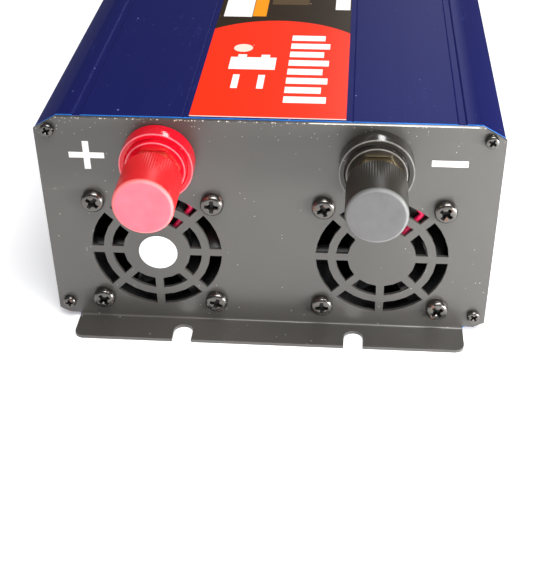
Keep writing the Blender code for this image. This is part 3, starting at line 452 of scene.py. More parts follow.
def turned(name, profile, sides=64, hollow=False):
    """A round piece about +Z. The profile is (radius, height) pairs, from its back to its front."""
    deselect()
    (radius, height), rest = profile[0], profile[1:]
    fill = "NOTHING" if hollow else "NGON"
    bpy.ops.mesh.primitive_circle_add(vertices=sides, radius=radius, location=(0, 0, height), fill_type=fill)
    piece = bpy.context.object
    piece.name = piece.data.name = name
    bpy.ops.object.mode_set(mode="EDIT")
    bpy.ops.mesh.select_mode(type="VERT")
    bpy.ops.mesh.select_all(action="SELECT")
    for wider, higher in rest:
        bpy.ops.mesh.extrude_region_move(TRANSFORM_OT_translate={"value": (0, 0, higher - height)})
        scale = wider / radius
        bpy.ops.transform.resize(value=(scale, scale, 1), center_override=(0, 0, higher))
        radius, height = wider, higher
    if hollow:
        bpy.ops.mesh.select_mode(type="EDGE")
        bpy.ops.mesh.select_all(action="DESELECT")
        bpy.ops.mesh.select_non_manifold()
        bpy.ops.mesh.bridge_edge_loops()
    bpy.ops.mesh.select_all(action="SELECT")
    bpy.ops.mesh.normals_make_consistent(inside=False)
    bpy.ops.object.mode_set(mode="OBJECT")
    bpy.ops.object.transform_apply(location=True, rotation=True, scale=True)
    return piece


FACING = {
    "up": Matrix.Identity(4),
    "front": Matrix.Rotation(math.pi / 2, 4, "X"),
    "rear": Matrix.Rotation(math.pi, 4, "Z") @ Matrix.Rotation(math.pi / 2, 4, "X"),
}


def settle(piece, spot, facing="front", twist=0.0):
    """Turns a piece made along +Z to face its way, moves it to its spot, and leaves its object at the origin."""
    activate(piece)
    turn = FACING[facing] @ Matrix.Rotation(twist, 4, "Z")
    piece.matrix_world = Matrix.Translation(spot) @ turn @ piece.matrix_world
    bpy.ops.object.transform_apply(location=True, rotation=True, scale=True)
    return piece


def carve(piece, cutter):
    """Cuts one closed shape out of another and throws the cutter away."""
    activate(piece)
    cut = piece.modifiers.new("cut", "BOOLEAN")
    cut.operation = "DIFFERENCE"
    cut.object = cutter
    bpy.ops.object.modifier_apply(modifier=cut.name)
    bpy.data.objects.remove(cutter)
    return piece


def dress(piece, finish, body, node):
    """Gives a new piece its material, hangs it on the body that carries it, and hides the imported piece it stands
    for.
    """
    piece.data.materials.clear()
    piece.data.materials.append(finish.material)
    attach(piece, body)
    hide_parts(node)
    return piece


print("helpers ready")

# %% [markdown]
# ## The blue case
#
# Extruded aluminium comes out of its die with faint lines along its length, and anodising dyes it a deep,
# slightly metallic blue. A thin light-blue line round each end of the case is a painted highlight, where the end
# edges catch the light. The die lines could be modelled, but they are finer than a hair, so a noise that is stretched
# along Y gives them as relief. The grooves and hooks are real geometry.

# %% Anodised aluminium
anodised = Finish("blue_anodised_aluminium", srgb(23, 29, 98), 0.46, 0.35)
drawn_lines = anodised.effect(grain, Stretch=(1, 0.015, 1), Scale=2600.0)
anodised.cover(anodised.scaled(drawn_lines["Variation"], 0.35), srgb(14, 16, 70), 0.54)
anodised.raised(drawn_lines["Height"], 0.00003, 0.35)
handling = anodised.effect(scratch, Stretch=(30, 4, 30), Width=0.003, Amount=0.42)
anodised.cover(anodised.scaled(handling["Mask"], 0.25), srgb(70, 80, 170), 0.5)
# Painted highlight: a light-blue line round each end of the case, where its end edges catch the light, broken up by
# grain.
end_glint_grain = anodised.effect(grain, Stretch=(1, 1, 1), Scale=1100.0)
for cut_end in (case_low.y, case_high.y):
    end_glint_band = anodised.effect(block, Centre=(0, cut_end, 0.05), Half_Size=(1, 0.00016, 1))
    painted_end_glint = math_node(anodised.tree, "MULTIPLY", end_glint_band["Mask"], anodised.scaled(end_glint_grain["Variation"], 1.5))
    anodised.cover(painted_end_glint, srgb(60, 150, 255), 0.4)
specks = anodised.effect(dust, Scale=230.0, Amount=0.10, Size=0.10)
anodised.cover(anodised.scaled(specks["Mask"], 0.7), srgb(150, 160, 215), 0.8, 0.0)
fine_specks = anodised.effect(dust, Scale=620.0, Amount=0.05, Size=0.12)
anodised.cover(anodised.scaled(fine_specks["Mask"], 0.5), srgb(130, 140, 205), 0.8, 0.0)
anodised.set(Specular_IOR_Level=0.08)

for shell in ("upper_shell", "lower_shell"):
    piece = soften(whole_faces(shell), 0.25 * MM)
    dress(piece, anodised, "chassis", shell)
    print(shell, len(piece.data.polygons), "faces")

# %% [markdown]
# ## The black end plates
#
# Each end plate is punched from 1.5 mm sheet steel, folded at the bottom, and powder coated semi-gloss black. Powder
# coat flows out with a very fine orange-peel, and it chips along the top edge, where bright specks of metal show. A
# thin broken pale line on the right half of the top edge is a painted highlight, where the edge catches the light.
# The polarity marks are screen-printed in white. They could be thin solids, but ink has no thickness that the eye
# can find, so they are masks in the material.

# %% Powder-coated steel, with its polarity marks
coat = Finish("black_powder_coat", srgb(68, 66, 63), 0.30)
peel = coat.effect(grain, Scale=1500.0)
coat.cover(coat.scaled(peel["Variation"], 0.35), srgb(60, 58, 55), 0.40)
coat.raised(peel["Height"], 0.00002, 0.35)
rubbed = coat.effect(scratch, Stretch=(5, 30, 24), Width=0.0016, Amount=0.36)
coat.cover(coat.scaled(rubbed["Mask"], 0.35), srgb(130, 126, 120), 0.5)
chips = coat.effect(dust, Scale=1500.0, Amount=0.5, Size=0.5)
top_edge = coat.effect(block, Centre=(0, front_face, plate_top), Half_Size=(1, 0.0004, 0.0004))
chipped = math_node(coat.tree, "MULTIPLY", chips["Mask"], top_edge["Mask"])
coat.cover(chipped, srgb(225, 214, 196), 0.4, 0.3)
# Painted highlight: a thin broken pale line along the right half of the plate's top edge, where the edge catches the
# light.
glint_breaks = coat.effect(grain, Stretch=(0.12, 1, 1), Scale=3000.0)
top_edge_glint_strip = coat.effect(block, Centre=(0.0500, front_face + 0.0001, plate_top), Half_Size=(0.0330, 0.0004, 0.0002))
glint_shown = math_node(coat.tree, "GREATER_THAN", glint_breaks["Variation"], 0.47)
painted_top_edge_glint = math_node(coat.tree, "MULTIPLY", glint_shown, top_edge_glint_strip["Mask"])
coat.cover(painted_top_edge_glint, srgb(244, 238, 226), 0.4, 0.3)
mark_depth = 0.0004
plus_x, minus_x, marks_z = -0.0738, 0.0731, 0.0832
marks = []
for x, z, half_x, half_z in (
    (plus_x, marks_z, 0.0073, 0.0013),
    (plus_x, marks_z, 0.0013, 0.0064),
    (minus_x, marks_z + 0.0006, 0.0072, 0.00135),
):
    bar = coat.effect(block, Centre=(x, front_face, z), Half_Size=(half_x, mark_depth, half_z))
    marks.append(bar["Mask"])
coat.cover(coat.either(*marks), srgb(246, 244, 242), 0.45)
lint = coat.effect(dust, Scale=210.0, Amount=0.13, Size=0.085)
coat.cover(coat.scaled(lint["Mask"], 0.75), srgb(196, 190, 182), 0.9)
fine_lint = coat.effect(dust, Scale=520.0, Amount=0.08, Size=0.14)
coat.cover(coat.scaled(fine_lint["Mask"], 0.7), srgb(196, 191, 184), 0.9)
top_lint = coat.effect(dust, Scale=900.0, Amount=0.22, Size=0.16)
near_top = coat.effect(block, Centre=(0, front_face, plate_top), Half_Size=(1, 0.002, 0.0085))
coat.cover(math_node(coat.tree, "MULTIPLY", top_lint["Mask"], near_top["Mask"]), srgb(176, 171, 164), 0.9)
coat.set(Specular_IOR_Level=0.8)

for plate in ("front_plate", "rear_plate"):
    piece = soften(whole_faces(plate), 0.18 * MM)
    dress(piece, coat, "chassis", plate)
    print(plate, len(piece.data.polygons), "faces")

# %% [markdown]
# ## The top label
#
# A strip of glossy film runs along the middle of the case. Its battery end is printed red up to an arch, and dark
# brown beyond it, with plain white and orange blocks. The pictograms are generic: a battery with two bars in front
# of it and a spot behind it on one side, and a ruler of plain bars on the other. The arch is one big printed disc, so
# it needs only its centre and radius.

# %% Printed film
label_low, label_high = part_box("top_label")
ARCH_CENTRE = (-0.0014, front_face + 0.0548, 0)
ARCH_RADIUS = 0.0465
WHITE_INK = srgb(250, 248, 245)
film = Finish("printed_label_film", srgb(40, 27, 10), 0.30)
arch = film.effect(band, Centre=ARCH_CENTRE, Flatten=(1, 1, 0), Radius=0.0, Half_Width=ARCH_RADIUS)
below = film.effect(block, Centre=(0, front_face + 0.02, 0.1), Half_Size=(0.1, 0.035, 0.05))
film.cover(film.either(arch["Mask"], below["Mask"]), srgb(246, 44, 6))


def printed(x, y, half_x, half_y):
    """A block of ink on the label: x across the case, y back from the battery end's plate."""
    return film.effect(block, Centre=(x, front_face + y, label_high.z), Half_Size=(half_x, half_y, 0.001))["Mask"]


ruler = []
for i in range(8):
    shorter = 0.0012 * (i % 2)
    ruler.append(printed(0.0139 - shorter, 0.0192 + 0.0089 * i, 0.0087 - shorter, 0.0029))
direct = [printed(x, 0.0353, 0.0014, 0.0066) for x in (-0.0162, -0.0054)]
battery = [printed(-0.0104, 0.0535, 0.0100, 0.0062)]
battery += [printed(x, 0.0610, 0.0019, 0.0016) for x in (-0.0155, -0.0053)]
pale_blocks = [printed(-0.0222, 0.1250, 0.0067, 0.0195), printed(0.0272, 0.1295, 0.0035, 0.0135)]
film.cover(film.either(*ruler, *direct, *battery, *pale_blocks), WHITE_INK)
film.cover(printed(-0.0120, 0.1250, 0.0032, 0.0187), srgb(250, 150, 10))
film.cover(printed(0.0019, 0.1330, 0.0089, 0.0115), srgb(84, 66, 42))
spot_mark = film.effect(band, Centre=(-0.0159, front_face + 0.0695, 0), Radius=0.0, Half_Width=0.0042)
film.cover(spot_mark["Mask"], srgb(236, 222, 206))
film_dust = film.effect(dust, Scale=260.0, Amount=0.06, Size=0.08)
film.cover(film.scaled(film_dust["Mask"], 0.7), srgb(250, 205, 190), 0.7)
cut_edge = film.effect(block, Centre=(0, label_low.y, label_high.z), Half_Size=(0.1, 0.00035, 0.001))
film.cover(cut_edge["Mask"], srgb(252, 214, 205), 0.5)
film.set(Specular_IOR_Level=0.2)
piece = soften(whole_faces("top_label"), 0.06 * MM, 1)
dress(piece, film, "chassis", "top_label")
print("label from", round(label_low.y, 4), "to", round(label_high.y, 4))

# %% [markdown]
# ## Screws
#
# Each fan is held by four black pan-head screws with a cross recess, and each end plate by four smaller ones. One
# of each is modelled and then copied, since they differ only in how far each was turned when it stopped. The head is
# turned, and its recess is cut by two crossed wedges that narrow as they go down, which is what makes a real
# driver fit.


# %% A cross-recess screw
def wedge(arm, half, deep, top):
    """A bar that narrows downwards: a cube with its bottom face scaled in."""
    deselect()
    bpy.ops.mesh.primitive_cube_add(size=2, location=(0, 0, top))
    bar = bpy.context.object
    bar.scale = (arm, half, deep)
    bpy.ops.object.transform_apply(location=False, rotation=False, scale=True)
    bpy.ops.object.mode_set(mode="EDIT")
    bpy.ops.mesh.select_mode(type="FACE")
    bpy.ops.mesh.select_all(action="DESELECT")
    bpy.ops.object.mode_set(mode="OBJECT")
    for face in bar.data.polygons:
        face.select = face.normal.z < -0.9
    bpy.ops.object.mode_set(mode="EDIT")
    bpy.ops.transform.resize(value=(0.45, 0.7, 1), center_override=(0, 0, top - deep))
    bpy.ops.object.mode_set(mode="OBJECT")
    return bar


def screw(name, head, height, shank, length):
    profile = [
        (shank * 0.6, -length),
        (shank, -length + shank),
        (shank, 0),
        (head * 0.97, 0),
        (head, height * 0.08),
        (head, height * 0.42),
        (head * 0.985, height * 0.58),
        (head * 0.94, height * 0.74),
        (head * 0.86, height * 0.87),
        (head * 0.75, height * 0.95),
        (head * 0.55, height * 0.99),
        (head * 0.3, height),
    ]
    piece = turned(name, profile, 48)
    for turn in (0, math.pi / 2):
        bar = wedge(head * 0.84, head * 0.20, height * 0.74, height * 1.02)
        bar.rotation_euler.z = turn
        bpy.context.view_layer.update()
        carve(piece, bar)
    deselect()
    bpy.ops.mesh.primitive_cone_add(
        vertices=4, radius1=head * 0.02, radius2=head * 0.50, depth=height * 0.75, location=(0, 0, height * 0.66)
    )
    carve(piece, bpy.context.object)
    return soften(piece, head * 0.025, 2, 40)


nickel = Finish("black_nickel_screw", srgb(112, 109, 106), 0.20, 0.95)
wear = nickel.effect(grain, Scale=2200.0)
nickel.cover(nickel.scaled(wear["Variation"], 0.6), srgb(62, 60, 58), 0.30)
rust = nickel.effect(dust, Scale=520.0, Amount=0.05, Size=0.5)
nickel.cover(nickel.scaled(rust["Mask"], 0.5), srgb(126, 74, 42), 0.8, 0.1)

# Painted shade and coat: the cross recess is laid near-black, partly its black coat and partly the shade that falls in
# it.
recess_coat_and_shade = Finish("black_recess_coat_and_shade", srgb(14, 13, 12), 0.45)
crust = recess_coat_and_shade.effect(grain, Scale=1800.0)
recess_coat_and_shade.cover(recess_coat_and_shade.scaled(crust["Variation"], 0.5), srgb(26, 24, 22), 0.6)

fan_master = screw("fan_screw_master", 4.9 * MM, 3.5 * MM, 2.1 * MM, 9.5 * MM)
case_master = screw("case_screw_master", 2.9 * MM, 2.2 * MM, 1.4 * MM, 8.5 * MM)


def place_screws(master, names, seat, facing, first_twist):
    """Copies of one screw, each turned a little further. The recess gets a near-black colour: partly its black coat,
    partly painted shade.
    """
    reach = max(vert.co.x for vert in master.data.vertices)
    top = max(vert.co.z for vert in master.data.vertices)
    recess = []
    for face in master.data.polygons:
        out = face.center.xy.length / reach
        ceiling = 0.64 if out > 0.8 else 0.84
        if out < 0.86 and 0.1 < face.center.z / top < ceiling:
            recess.append(face.index)
    for i, node in enumerate(names):
        piece = bpy.data.objects.new(f"fine_{node}", master.data.copy())
        bpy.context.scene.collection.objects.link(piece)
        centre = middle(node)
        settle(piece, (centre.x, seat, centre.z), facing, first_twist + 0.62 * i)
        dress(piece, nickel, "chassis", node)
        piece.data.materials.append(recess_coat_and_shade.material)
        for index in recess:
            piece.data.polygons[index].material_index = 1
    print(len(names), "screws facing", facing)


corners = ("top_left", "top_right", "bottom_left", "bottom_right")
place_screws(fan_master, [f"left_fan_screw_{c}" for c in corners], front_face - GAP, "front", 0.9)
place_screws(fan_master, [f"right_fan_screw_{c}" for c in corners], front_face - GAP, "front", 0.35)
place_screws(case_master, [f"front_plate_screw_{c}" for c in corners], front_face - GAP, "front", 0.4)
place_screws(case_master, [f"rear_plate_screw_{c}" for c in corners], rear_face + GAP, "rear", 0.2)
place_screws(fan_master, ["earth_screw"], rear_face + GAP, "rear", 0.7)
for master in (fan_master, case_master):
    bpy.data.objects.remove(master)

# %% [markdown]
# ## The binding posts
#
# Two big posts take the battery leads. Each has a glossy moulded base with a step, a brass stud with a hexagon, a
# steel washer, and a cap that screws down to clamp a ring terminal. The cap is finely ribbed towards its back, so
# fingers can grip it, and smooth at its front, where a rounded rim leads to a flat face that has gone dull with
# handling. The cap's face and rim are painted paler, partly as wear and partly as a painted highlight, and the base's
# round edges carry painted highlights as pale lines.


# %% Base, stud and washer
def plastic(name, colour, shade, dulled, roughness=0.3, ripple=0.3):
    """Glossy moulded plastic: faint flow marks, a dull bloom from handling, and a little dust."""
    finish = Finish(name, colour, roughness)
    flow = finish.effect(grain, Scale=700.0)
    finish.cover(finish.scaled(flow["Variation"], 0.45), shade, roughness + 0.1)
    finish.raised(flow["Height"], 0.00002, ripple)
    motes = finish.effect(dust, Scale=420.0, Amount=0.08, Size=0.1)
    finish.cover(finish.scaled(motes["Mask"], 0.5), dulled, 0.8)
    return finish


BASE_HUES = {
    "red": (srgb(214, 10, 36), srgb(190, 6, 28), srgb(250, 140, 150)),
    "black": (srgb(42, 39, 36), srgb(33, 31, 28), srgb(150, 146, 140)),
}
base_finish = {colour: plastic(f"{colour}_post_moulding", *hues, 0.10) for colour, hues in BASE_HUES.items()}
brass = Finish("plated_brass", srgb(238, 218, 172), 0.26, 1.0)
tarnish = brass.effect(grain, Scale=1200.0)
brass.cover(brass.scaled(tarnish["Variation"], 0.6), srgb(186, 152, 96), 0.40)
zinc = Finish("zinc_plated_steel", srgb(196, 196, 190), 0.28, 1.0)
bloom = zinc.effect(grain, Scale=900.0)
zinc.cover(zinc.scaled(bloom["Variation"], 0.5), srgb(130, 130, 126), 0.45)


def painted_edge_highlights(finish, spot, rings, highlight_colour):
    """Painted highlights: pale lines on a moulding's round edges, where they catch the light: (radius, front, half
    width) for each.
    """
    lines = []
    for radius, front, half in rings:
        line = finish.effect(band, Centre=(spot.x, front, spot.z), Flatten=(1, 0, 1), Radius=radius, Half_Width=half)
        slab = finish.effect(block, Centre=(spot.x, front, spot.z), Half_Size=(1, 0.4 * MM, 1))
        lines.append(math_node(finish.tree, "MULTIPLY", line["Mask"], slab["Mask"]))
    patchy = finish.effect(grain, Scale=500.0)["Variation"]
    strength = math_node(finish.tree, "MULTIPLY", finish.either(*lines), finish.scaled(patchy, 0.62))
    finish.cover(strength, highlight_colour, 0.2)


def post_base(colour):
    low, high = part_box(f"{colour}_post_base")
    seat = front_face - GAP
    deep = seat - low.y
    outer = (high.x - low.x) / 2
    flange = deep - 2.0 * MM
    profile = [
        (6.0 * MM, -1.4 * MM),
        (6.0 * MM, 0),
        (outer - 0.3 * MM, 0),
        (outer, 0.4 * MM),
        (outer - 0.1 * MM, flange),
        (outer - 2.2 * MM, flange + 0.0001 * MM),
        (outer - 2.5 * MM, flange - 0.4 * MM),
        (12.3 * MM, flange - 0.4 * MM),
        (12.2 * MM, deep),
        (4.4 * MM, deep + 0.0001 * MM),
        (4.4 * MM, -1.4 * MM),
    ]
    piece = soften(turned(f"fine_{colour}_post_base", profile, 96, hollow=True), 0.45 * MM, 4)
    spot = middle(f"{colour}_post_base")
    settle(piece, (spot.x, seat, spot.z))
    moulding = plastic(f"{colour}_base_moulding", *BASE_HUES[colour], 0.17, ripple=0.06)
    # Painted highlights: pale rings on the flange's front edge and the boss's front edge.
    edges = [(outer - 0.3 * MM, seat - flange, 0.3 * MM), (12.05 * MM, low.y, 0.3 * MM)]
    painted_edge_highlights(moulding, spot, edges, {"red": srgb(255, 176, 190), "black": srgb(190, 186, 182)}[colour])
    return dress(piece, moulding, "chassis", f"{colour}_post_base")


def post_stud(colour):
    low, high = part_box(f"{colour}_post_stud")
    centre = middle(f"{colour}_post_stud")
    pitch, crest, root = 1.25 * MM, 4.0 * MM, 3.45 * MM
    length = high.y - low.y
    turns = int(length / pitch)
    profile = [(3.0 * MM, 0)]
    for i in range(turns):
        profile += [(root, (i + 0.3) * pitch), (crest, (i + 0.7) * pitch)]
    profile.append((3.0 * MM, length))
    piece = turned(f"fine_{colour}_post_stud", profile, 40)
    base_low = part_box(f"{colour}_post_base")[0].y
    deselect()
    collar_thickness = 4.0 * MM
    nut_radius = (high.x - low.x) / 2
    collar_at = high.y - (base_low - GAP - collar_thickness / 2)
    bpy.ops.mesh.primitive_cylinder_add(
        vertices=6, radius=nut_radius, depth=collar_thickness, location=(0, 0, collar_at), rotation=(0, 0, math.pi / 6)
    )
    collar = soften(bpy.context.object, 0.35 * MM, 3)
    activate(collar)
    bpy.ops.object.transform_apply(location=True, rotation=True, scale=True)
    hexagon = piece.modifiers.new("hexagon", "BOOLEAN")
    hexagon.operation = "UNION"
    hexagon.object = collar
    activate(piece)
    bpy.ops.object.modifier_apply(modifier=hexagon.name)
    bpy.data.objects.remove(collar)
    bpy.ops.object.shade_smooth_by_angle(angle=math.radians(25))
    settle(piece, (centre.x, high.y, centre.z), "front")
    return dress(piece, brass, "chassis", f"{colour}_post_stud")


def ring_piece(node, inner, finish, body):
    """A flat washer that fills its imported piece's box."""
    low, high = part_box(node)
    outer, thick = (high.x - low.x) / 2, high.y - low.y
    profile = [(outer, 0), (outer, thick), (inner, thick + 0.0001 * MM), (inner, 0)]
    piece = soften(turned(f"fine_{node}", profile, 64, hollow=True), 0.15 * MM, 2)
    settle(piece, (middle(node).x, high.y, middle(node).z))
    return dress(piece, finish, body, node)


for colour in ("red", "black"):
    base = post_base(colour)
    post_stud(colour)
    clamp, inner = f"{colour}_clamp_washer", f"{colour}_inner_washer"
    ring_piece(clamp, 4.4 * MM, zinc, clamp)
    ring_piece(inner, 4.3 * MM, base_finish[colour], "chassis")
    print(colour, "post base", len(base.data.polygons), "faces")


# %% The ribbed caps
def cap(colour):
    node = f"{colour}_knob"
    low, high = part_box(node)
    outer, length = (high.x - low.x) / 2, high.y - low.y
    ribbed = length * 0.66
    profile = [
        (4.4 * MM, 17.5 * MM),
        (4.4 * MM, 0.9 * MM),
        (9.3 * MM, 0.9001 * MM),
        (9.3 * MM, 0.0001 * MM),
        (outer - 0.9 * MM, 0),
        (outer - 0.25 * MM, 0.5 * MM),
        (outer - 0.05 * MM, 0.9 * MM),
        (outer - 0.05 * MM, ribbed),
        (outer, ribbed + 0.3 * MM),
        (outer, length - 1.5 * MM),
        (outer - 0.12 * MM, length - 0.95 * MM),
        (outer - 0.45 * MM, length - 0.42 * MM),
        (outer - 0.9 * MM, length - 0.12 * MM),
        (outer - 1.4 * MM, length),
        (outer - 2.6 * MM, length - 0.02 * MM),
        (1.0 * MM, length - 0.10 * MM),
    ]
    sides = 144
    piece = turned(f"fine_{node}", profile, sides)
    inward = 1 - 0.24 * MM / outer
    bpy.ops.object.mode_set(mode="EDIT")
    bpy.ops.mesh.select_mode(type="VERT")
    bpy.ops.mesh.select_all(action="DESELECT")
    bpy.ops.object.mode_set(mode="OBJECT")
    for vert in piece.data.vertices:
        column = round(math.atan2(vert.co.y, vert.co.x) / (2 * math.pi / sides))
        wide = math.hypot(vert.co.x, vert.co.y) > outer - 0.3 * MM
        vert.select = column % 2 == 1 and wide and vert.co.z < ribbed + 0.1 * MM
    bpy.ops.object.mode_set(mode="EDIT")
    bpy.ops.transform.resize(value=(inward, inward, 1), center_override=(0, 0, 0))
    bpy.ops.object.mode_set(mode="OBJECT")
    soften(piece, 0, angle=28)
    settle(piece, (middle(node).x, high.y, middle(node).z))
    return dress(piece, cap_wear_and_sheen(colour, node), node, node)


def cap_wear_and_sheen(colour, node):
    """The cap's plastic, with its front painted pale and dull and a paler ring on its rim, each partly wear and partly
    painted highlight.
    """
    hue = {
        "red": (srgb(210, 24, 30), srgb(190, 14, 24), srgb(232, 106, 122), srgb(250, 138, 132)),
        "black": (srgb(40, 36, 30), srgb(31, 28, 24), srgb(92, 91, 92), srgb(120, 122, 120)),
    }[colour]
    finish = plastic(f"{colour}_cap_moulding", hue[0], hue[1], hue[2], 0.42)
    low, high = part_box(node)
    spot = middle(node)
    outer = (high.x - low.x) / 2
    front = (spot.x, low.y, spot.z)
    cloudy = finish.effect(grain, Scale=260.0)
    # Painted sheen and wear: the front face is laid paler and duller, partly handling haze, partly a painted highlight
    # where it catches the light.
    front_face_zone = finish.effect(block, Centre=front, Half_Size=(1, 0.00055, 1))
    front_haze_and_sheen = math_node(finish.tree, "MULTIPLY", front_face_zone["Mask"], math_node(finish.tree, "ADD", cloudy["Variation"], 0.42))
    finish.cover(front_haze_and_sheen, hue[2], 0.62)
    # Painted highlight and wear: a paler ring on the rounded front rim.
    rim = finish.effect(band, Centre=front, Flatten=(1, 0, 1), Radius=outer - 0.5 * MM, Half_Width=0.75 * MM)
    near = finish.effect(block, Centre=front, Half_Size=(1, 0.0013, 1))
    rim_wear_and_highlight = math_node(finish.tree, "MULTIPLY", rim["Mask"], near["Mask"])
    finish.cover(finish.scaled(rim_wear_and_highlight, 0.45), hue[3], 0.5)
    return finish


for colour in ("red", "black"):
    print(colour, "cap", len(cap(colour).data.polygons), "faces")

# %% [markdown]
# ## The fans
#
# Behind each grille sits a 60 mm fan in black glass-filled plastic: a square frame, a motor plate on three struts,
# and seven blades. The moulding is matte, so it shows only where light falls through the slots. The red supply lead
# lies along a strut, and it is the one bright thing behind the plate.

# %% Fan frames, rotors and leads
fan_plastic = Finish("fan_moulding", srgb(30, 30, 31), 0.22)
fibre = fan_plastic.effect(grain, Scale=1800.0)
fan_plastic.cover(fan_plastic.scaled(fibre["Variation"], 0.5), srgb(42, 42, 44), 0.34)
fan_plastic.raised(fibre["Height"], 0.00003, 0.4)
lead_finish = {}
for colour, main, shade in (
    ("red", srgb(248, 30, 96), srgb(222, 12, 70)),
    ("black", srgb(24, 24, 24), srgb(14, 14, 14)),
):
    cable = Finish(f"{colour}_cable_insulation", main, 0.36)
    skin = cable.effect(grain, Scale=900.0)
    cable.cover(cable.scaled(skin["Variation"], 0.5), shade, 0.46)
    cable.raised(skin["Height"], 0.00002, 0.3)
    lead_finish[colour] = cable

for side in ("left", "right"):
    housing = soften(whole_faces(f"{side}_fan_frame"), 0.25 * MM)
    dress(housing, fan_plastic, "chassis", f"{side}_fan_frame")
    rotor = soften(whole_faces(f"{side}_fan_rotor"), 0.2 * MM)
    dress(rotor, fan_plastic, f"{side}_fan_rotor", f"{side}_fan_rotor")
    print(side, "fan", len(housing.data.polygons) + len(rotor.data.polygons), "faces")


def bent_wire(name, route, radius):
    """A round wire along a smooth curve through the route's points, made a mesh."""
    curve = bpy.data.curves.new(name, "CURVE")
    curve.dimensions = "3D"
    curve.bevel_depth = radius
    curve.bevel_resolution = 5
    curve.resolution_u = 8
    curve.use_fill_caps = True
    line = curve.splines.new("NURBS")
    line.points.add(len(route) - 1)
    for point, place in zip(line.points, route):
        point.co = (*place, 1)
    line.order_u = 3
    line.use_endpoint_u = True
    wire = bpy.data.objects.new(name, curve)
    bpy.context.scene.collection.objects.link(wire)
    activate(wire)
    bpy.ops.object.convert(target="MESH")
    bpy.ops.object.shade_smooth()
    return bpy.context.object


def fan_lead(side):
    """The fan's wire: beside a strut, out over the frame, then back and down to the board."""
    node = f"{side}_fan_lead"
    low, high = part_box(node)
    hub = middle(f"{side}_fan_rotor")
    frame_low, frame_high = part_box(f"{side}_fan_frame")
    near = frame_low.y + 1.35 * MM
    lean = math.radians(52.5)

    def beside_strut(reach):
        return (hub.x + reach * math.cos(lean), near, hub.z + reach * math.sin(lean))

    out = (low.x + high.x) / 2 + 0.0012
    top = high.z - 0.0011
    route = [beside_strut(reach * MM) for reach in (9.5, 13, 17, 21, 24.5, 27)]
    route += [
        (out, near, hub.z + 26.5 * MM),
        (out, near + 0.0004, top - 0.0035),
        (out, near + 0.004, top),
        (out, middle(f"{side}_fan_frame").y, top),
        (out, frame_high.y + 0.002, top),
        (out, frame_high.y + 0.006, top - 0.008),
        (out, high.y - 0.006, hub.z),
        (out, high.y - 0.005, low.z + 0.012),
        (out, high.y - 0.0012, low.z),
    ]
    return dress(bent_wire(f"fine_{node}", route, 1.15 * MM), lead_finish["red"], "chassis", node)


def smooth_lead(node, finish):
    piece = whole_faces(node)
    rounder = piece.modifiers.new("rounder", "SUBSURF")
    rounder.levels = rounder.render_levels = 1
    activate(piece)
    bpy.ops.object.modifier_apply(modifier=rounder.name)
    bpy.ops.object.shade_smooth_by_angle(angle=math.radians(60))
    return dress(piece, finish, "chassis", node)


for side in ("left", "right"):
    print(side, "fan lead", len(fan_lead(side).data.polygons), "faces")
for colour in ("red", "black"):
    smooth_lead(f"{colour}_dc_lead", lead_finish[colour])

# %% [markdown]
# ## The inspection sticker
#
# A round white paper sticker sits on the grille's solid middle, a little off centre. Someone has initialled it, and
# the ink has faded, so only a pale tick is left. It is a turned disc with a softened edge.

# %% Sticker
paper_finish = Finish("white_sticker_paper", srgb(240, 246, 246), 0.5)
fibres = paper_finish.effect(grain, Scale=2600.0)
paper_finish.cover(paper_finish.scaled(fibres["Variation"], 0.3), srgb(222, 230, 230), 0.6)
paper_finish.raised(fibres["Height"], 0.00002, 0.3)
spot = middle("inspection_sticker")
strokes = []
for across, up, half_x, half_z in ((-1.3, 2.2, 0.2, 0.8), (-0.5, 2.8, 0.9, 0.2), (0.3, 2.0, 0.2, 1.0)):
    place = (spot.x + across * MM, spot.y, spot.z + up * MM)
    stroke = paper_finish.effect(block, Centre=place, Half_Size=(half_x * MM, 1 * MM, half_z * MM))
    strokes.append(stroke["Mask"])
faded = paper_finish.either(*strokes)
paper_finish.cover(paper_finish.scaled(faded, 0.45), srgb(150, 175, 165), 0.6)
low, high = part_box("inspection_sticker")
radius, thick = (high.x - low.x) / 2, high.y - low.y
piece = soften(turned("fine_sticker", [(radius, 0), (radius, thick)], 96), 0.06 * MM, 2)
settle(piece, (spot.x, high.y, spot.z))
dress(piece, paper_finish, "chassis", "inspection_sticker")
print("sticker radius", round(radius * 1000, 2), "mm")

# %% [markdown]
# ## The mains end
#
# The other end has two universal outlets in ivory plastic, a red rocker switch, two lamps, a row of air slots and an
# earth screw. The shapes come from the model, with their edges softened. The rocker carries the usual line and
# circle, as printed masks that turn with it.

# %% Outlets, switch and lamps
ivory = plastic("ivory_outlet_moulding", srgb(226, 223, 212), srgb(206, 202, 190), srgb(245, 243, 238), 0.34)
for side in ("left", "right"):
    piece = soften(whole_faces(f"{side}_outlet"), 0.5 * MM, 3)
    dress(piece, ivory, "chassis", f"{side}_outlet")
piece = soften(whole_faces("switch_housing"), 0.35 * MM, 3)
dress(piece, base_finish["black"], "chassis", "switch_housing")

rocker_finish = plastic("red_rocker_moulding", srgb(206, 18, 22), srgb(176, 10, 16), srgb(240, 120, 120), 0.2)
mid = middle("switch_rocker")
line = rocker_finish.effect(block, Centre=(mid.x, mid.y + 0.003, mid.z + 0.0062), Half_Size=(0.0005, 0.006, 0.0021))
circle_place = (mid.x, 0, mid.z - 0.0062)
circle_mark = rocker_finish.effect(band, Centre=circle_place, Flatten=(1, 0, 1), Radius=0.0019, Half_Width=0.0005)
rocker_finish.cover(rocker_finish.either(line["Mask"], circle_mark["Mask"]), srgb(245, 240, 236), 0.4)
piece = soften(whole_faces("switch_rocker"), 0.5 * MM, 3, angle=25)
dress(piece, rocker_finish, "switch_rocker", "switch_rocker")

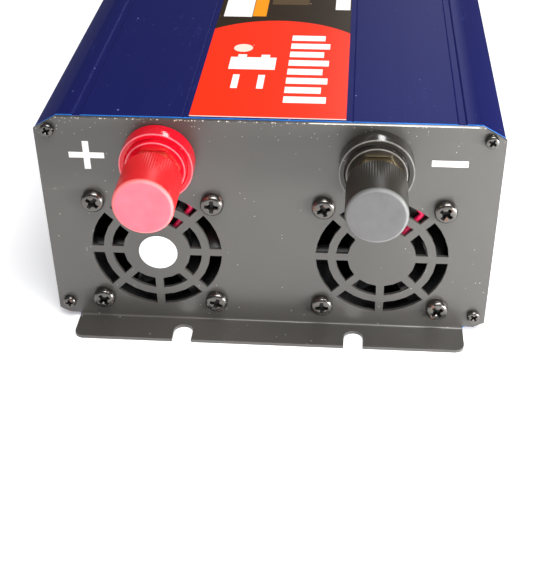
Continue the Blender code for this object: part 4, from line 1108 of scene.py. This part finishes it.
for lamp_name, bright, deep, slot in (
    ("power_lamp", srgb(70, 214, 96), srgb(20, 140, 50), "green_lens"),
    ("fault_lamp", srgb(236, 60, 50), srgb(160, 20, 20), "red_lens"),
):
    lens_finish = Finish(f"{lamp_name}_lens", bright, 0.12)
    facets = lens_finish.effect(grain, Scale=1400.0)
    lens_finish.cover(lens_finish.scaled(facets["Variation"], 0.6), deep, 0.2)
    lens_finish.set(Coat_Weight=0.5)
    piece = soften(whole_faces(lamp_name), 0.12 * MM, 2, angle=50)
    dress(piece, lens_finish, "chassis", lamp_name)
print("mains end dressed")

# %% [markdown]
# ## Inside
#
# The board, its transformer, capacitors and heat sinks are hidden behind the plates, and only a hint of them shows
# through the slots. They keep their modelled shapes with softened edges, and each gets the finish of its own stuff:
# green solder mask, fired ferrite, yellow tape, shrink sleeve, milled aluminium and moulded epoxy.


# %% Inner parts
def inner_finish(name, colour, shade, roughness, metallic=0.0, scale=900.0, stretch=(1, 1, 1)):
    finish = Finish(name, colour, roughness, metallic)
    pattern = finish.effect(grain, Scale=scale, Stretch=stretch)
    finish.cover(finish.scaled(pattern["Variation"], 0.6), shade, min(roughness + 0.15, 1.0))
    finish.raised(pattern["Height"], 0.00004, 0.4)
    return finish


ALONG_Y = (1, 0.05, 1)
ALONG_Z = (1, 1, 8)
INNER = {
    "circuit_board": (
        inner_finish("green_solder_mask", srgb(30, 98, 52), srgb(18, 66, 36), 0.35),
        ["main_board"],
    ),
    "ferrite": (
        inner_finish("fired_ferrite", srgb(58, 58, 60), srgb(38, 38, 40), 0.7),
        ["transformer_core"],
    ),
    "winding_tape": (
        inner_finish("yellow_winding_tape", srgb(222, 186, 60), srgb(190, 150, 40), 0.45, stretch=ALONG_Z),
        ["transformer_winding"],
    ),
    "copper_wire": (
        inner_finish("enamelled_copper", srgb(186, 104, 60), srgb(140, 70, 38), 0.3, 0.9),
        ["output_choke"],
    ),
    "capacitor_sleeve": (
        inner_finish("shrink_sleeve", srgb(34, 42, 84), srgb(22, 28, 60), 0.4),
        ["bus_capacitor", "input_capacitor_left", "input_capacitor_right"],
    ),
    "aluminium": (
        inner_finish("milled_aluminium", srgb(196, 198, 202), srgb(160, 162, 166), 0.35, 1.0, stretch=ALONG_Y),
        ["left_heatsink", "right_heatsink"],
    ),
    "epoxy": (
        inner_finish("moulded_epoxy", srgb(34, 34, 36), srgb(24, 24, 26), 0.6),
        ["left_transistor_bank", "right_transistor_bank"],
    ),
    "zinc_steel": (zinc, ["red_post_nut", "black_post_nut"]),
}
for slot, (finish, names) in INNER.items():
    for node in names:
        dress(soften(whole_faces(node), 0.3 * MM), finish, "chassis", node)
    print(slot, "on", ", ".join(names))

# %% [markdown] ## Done
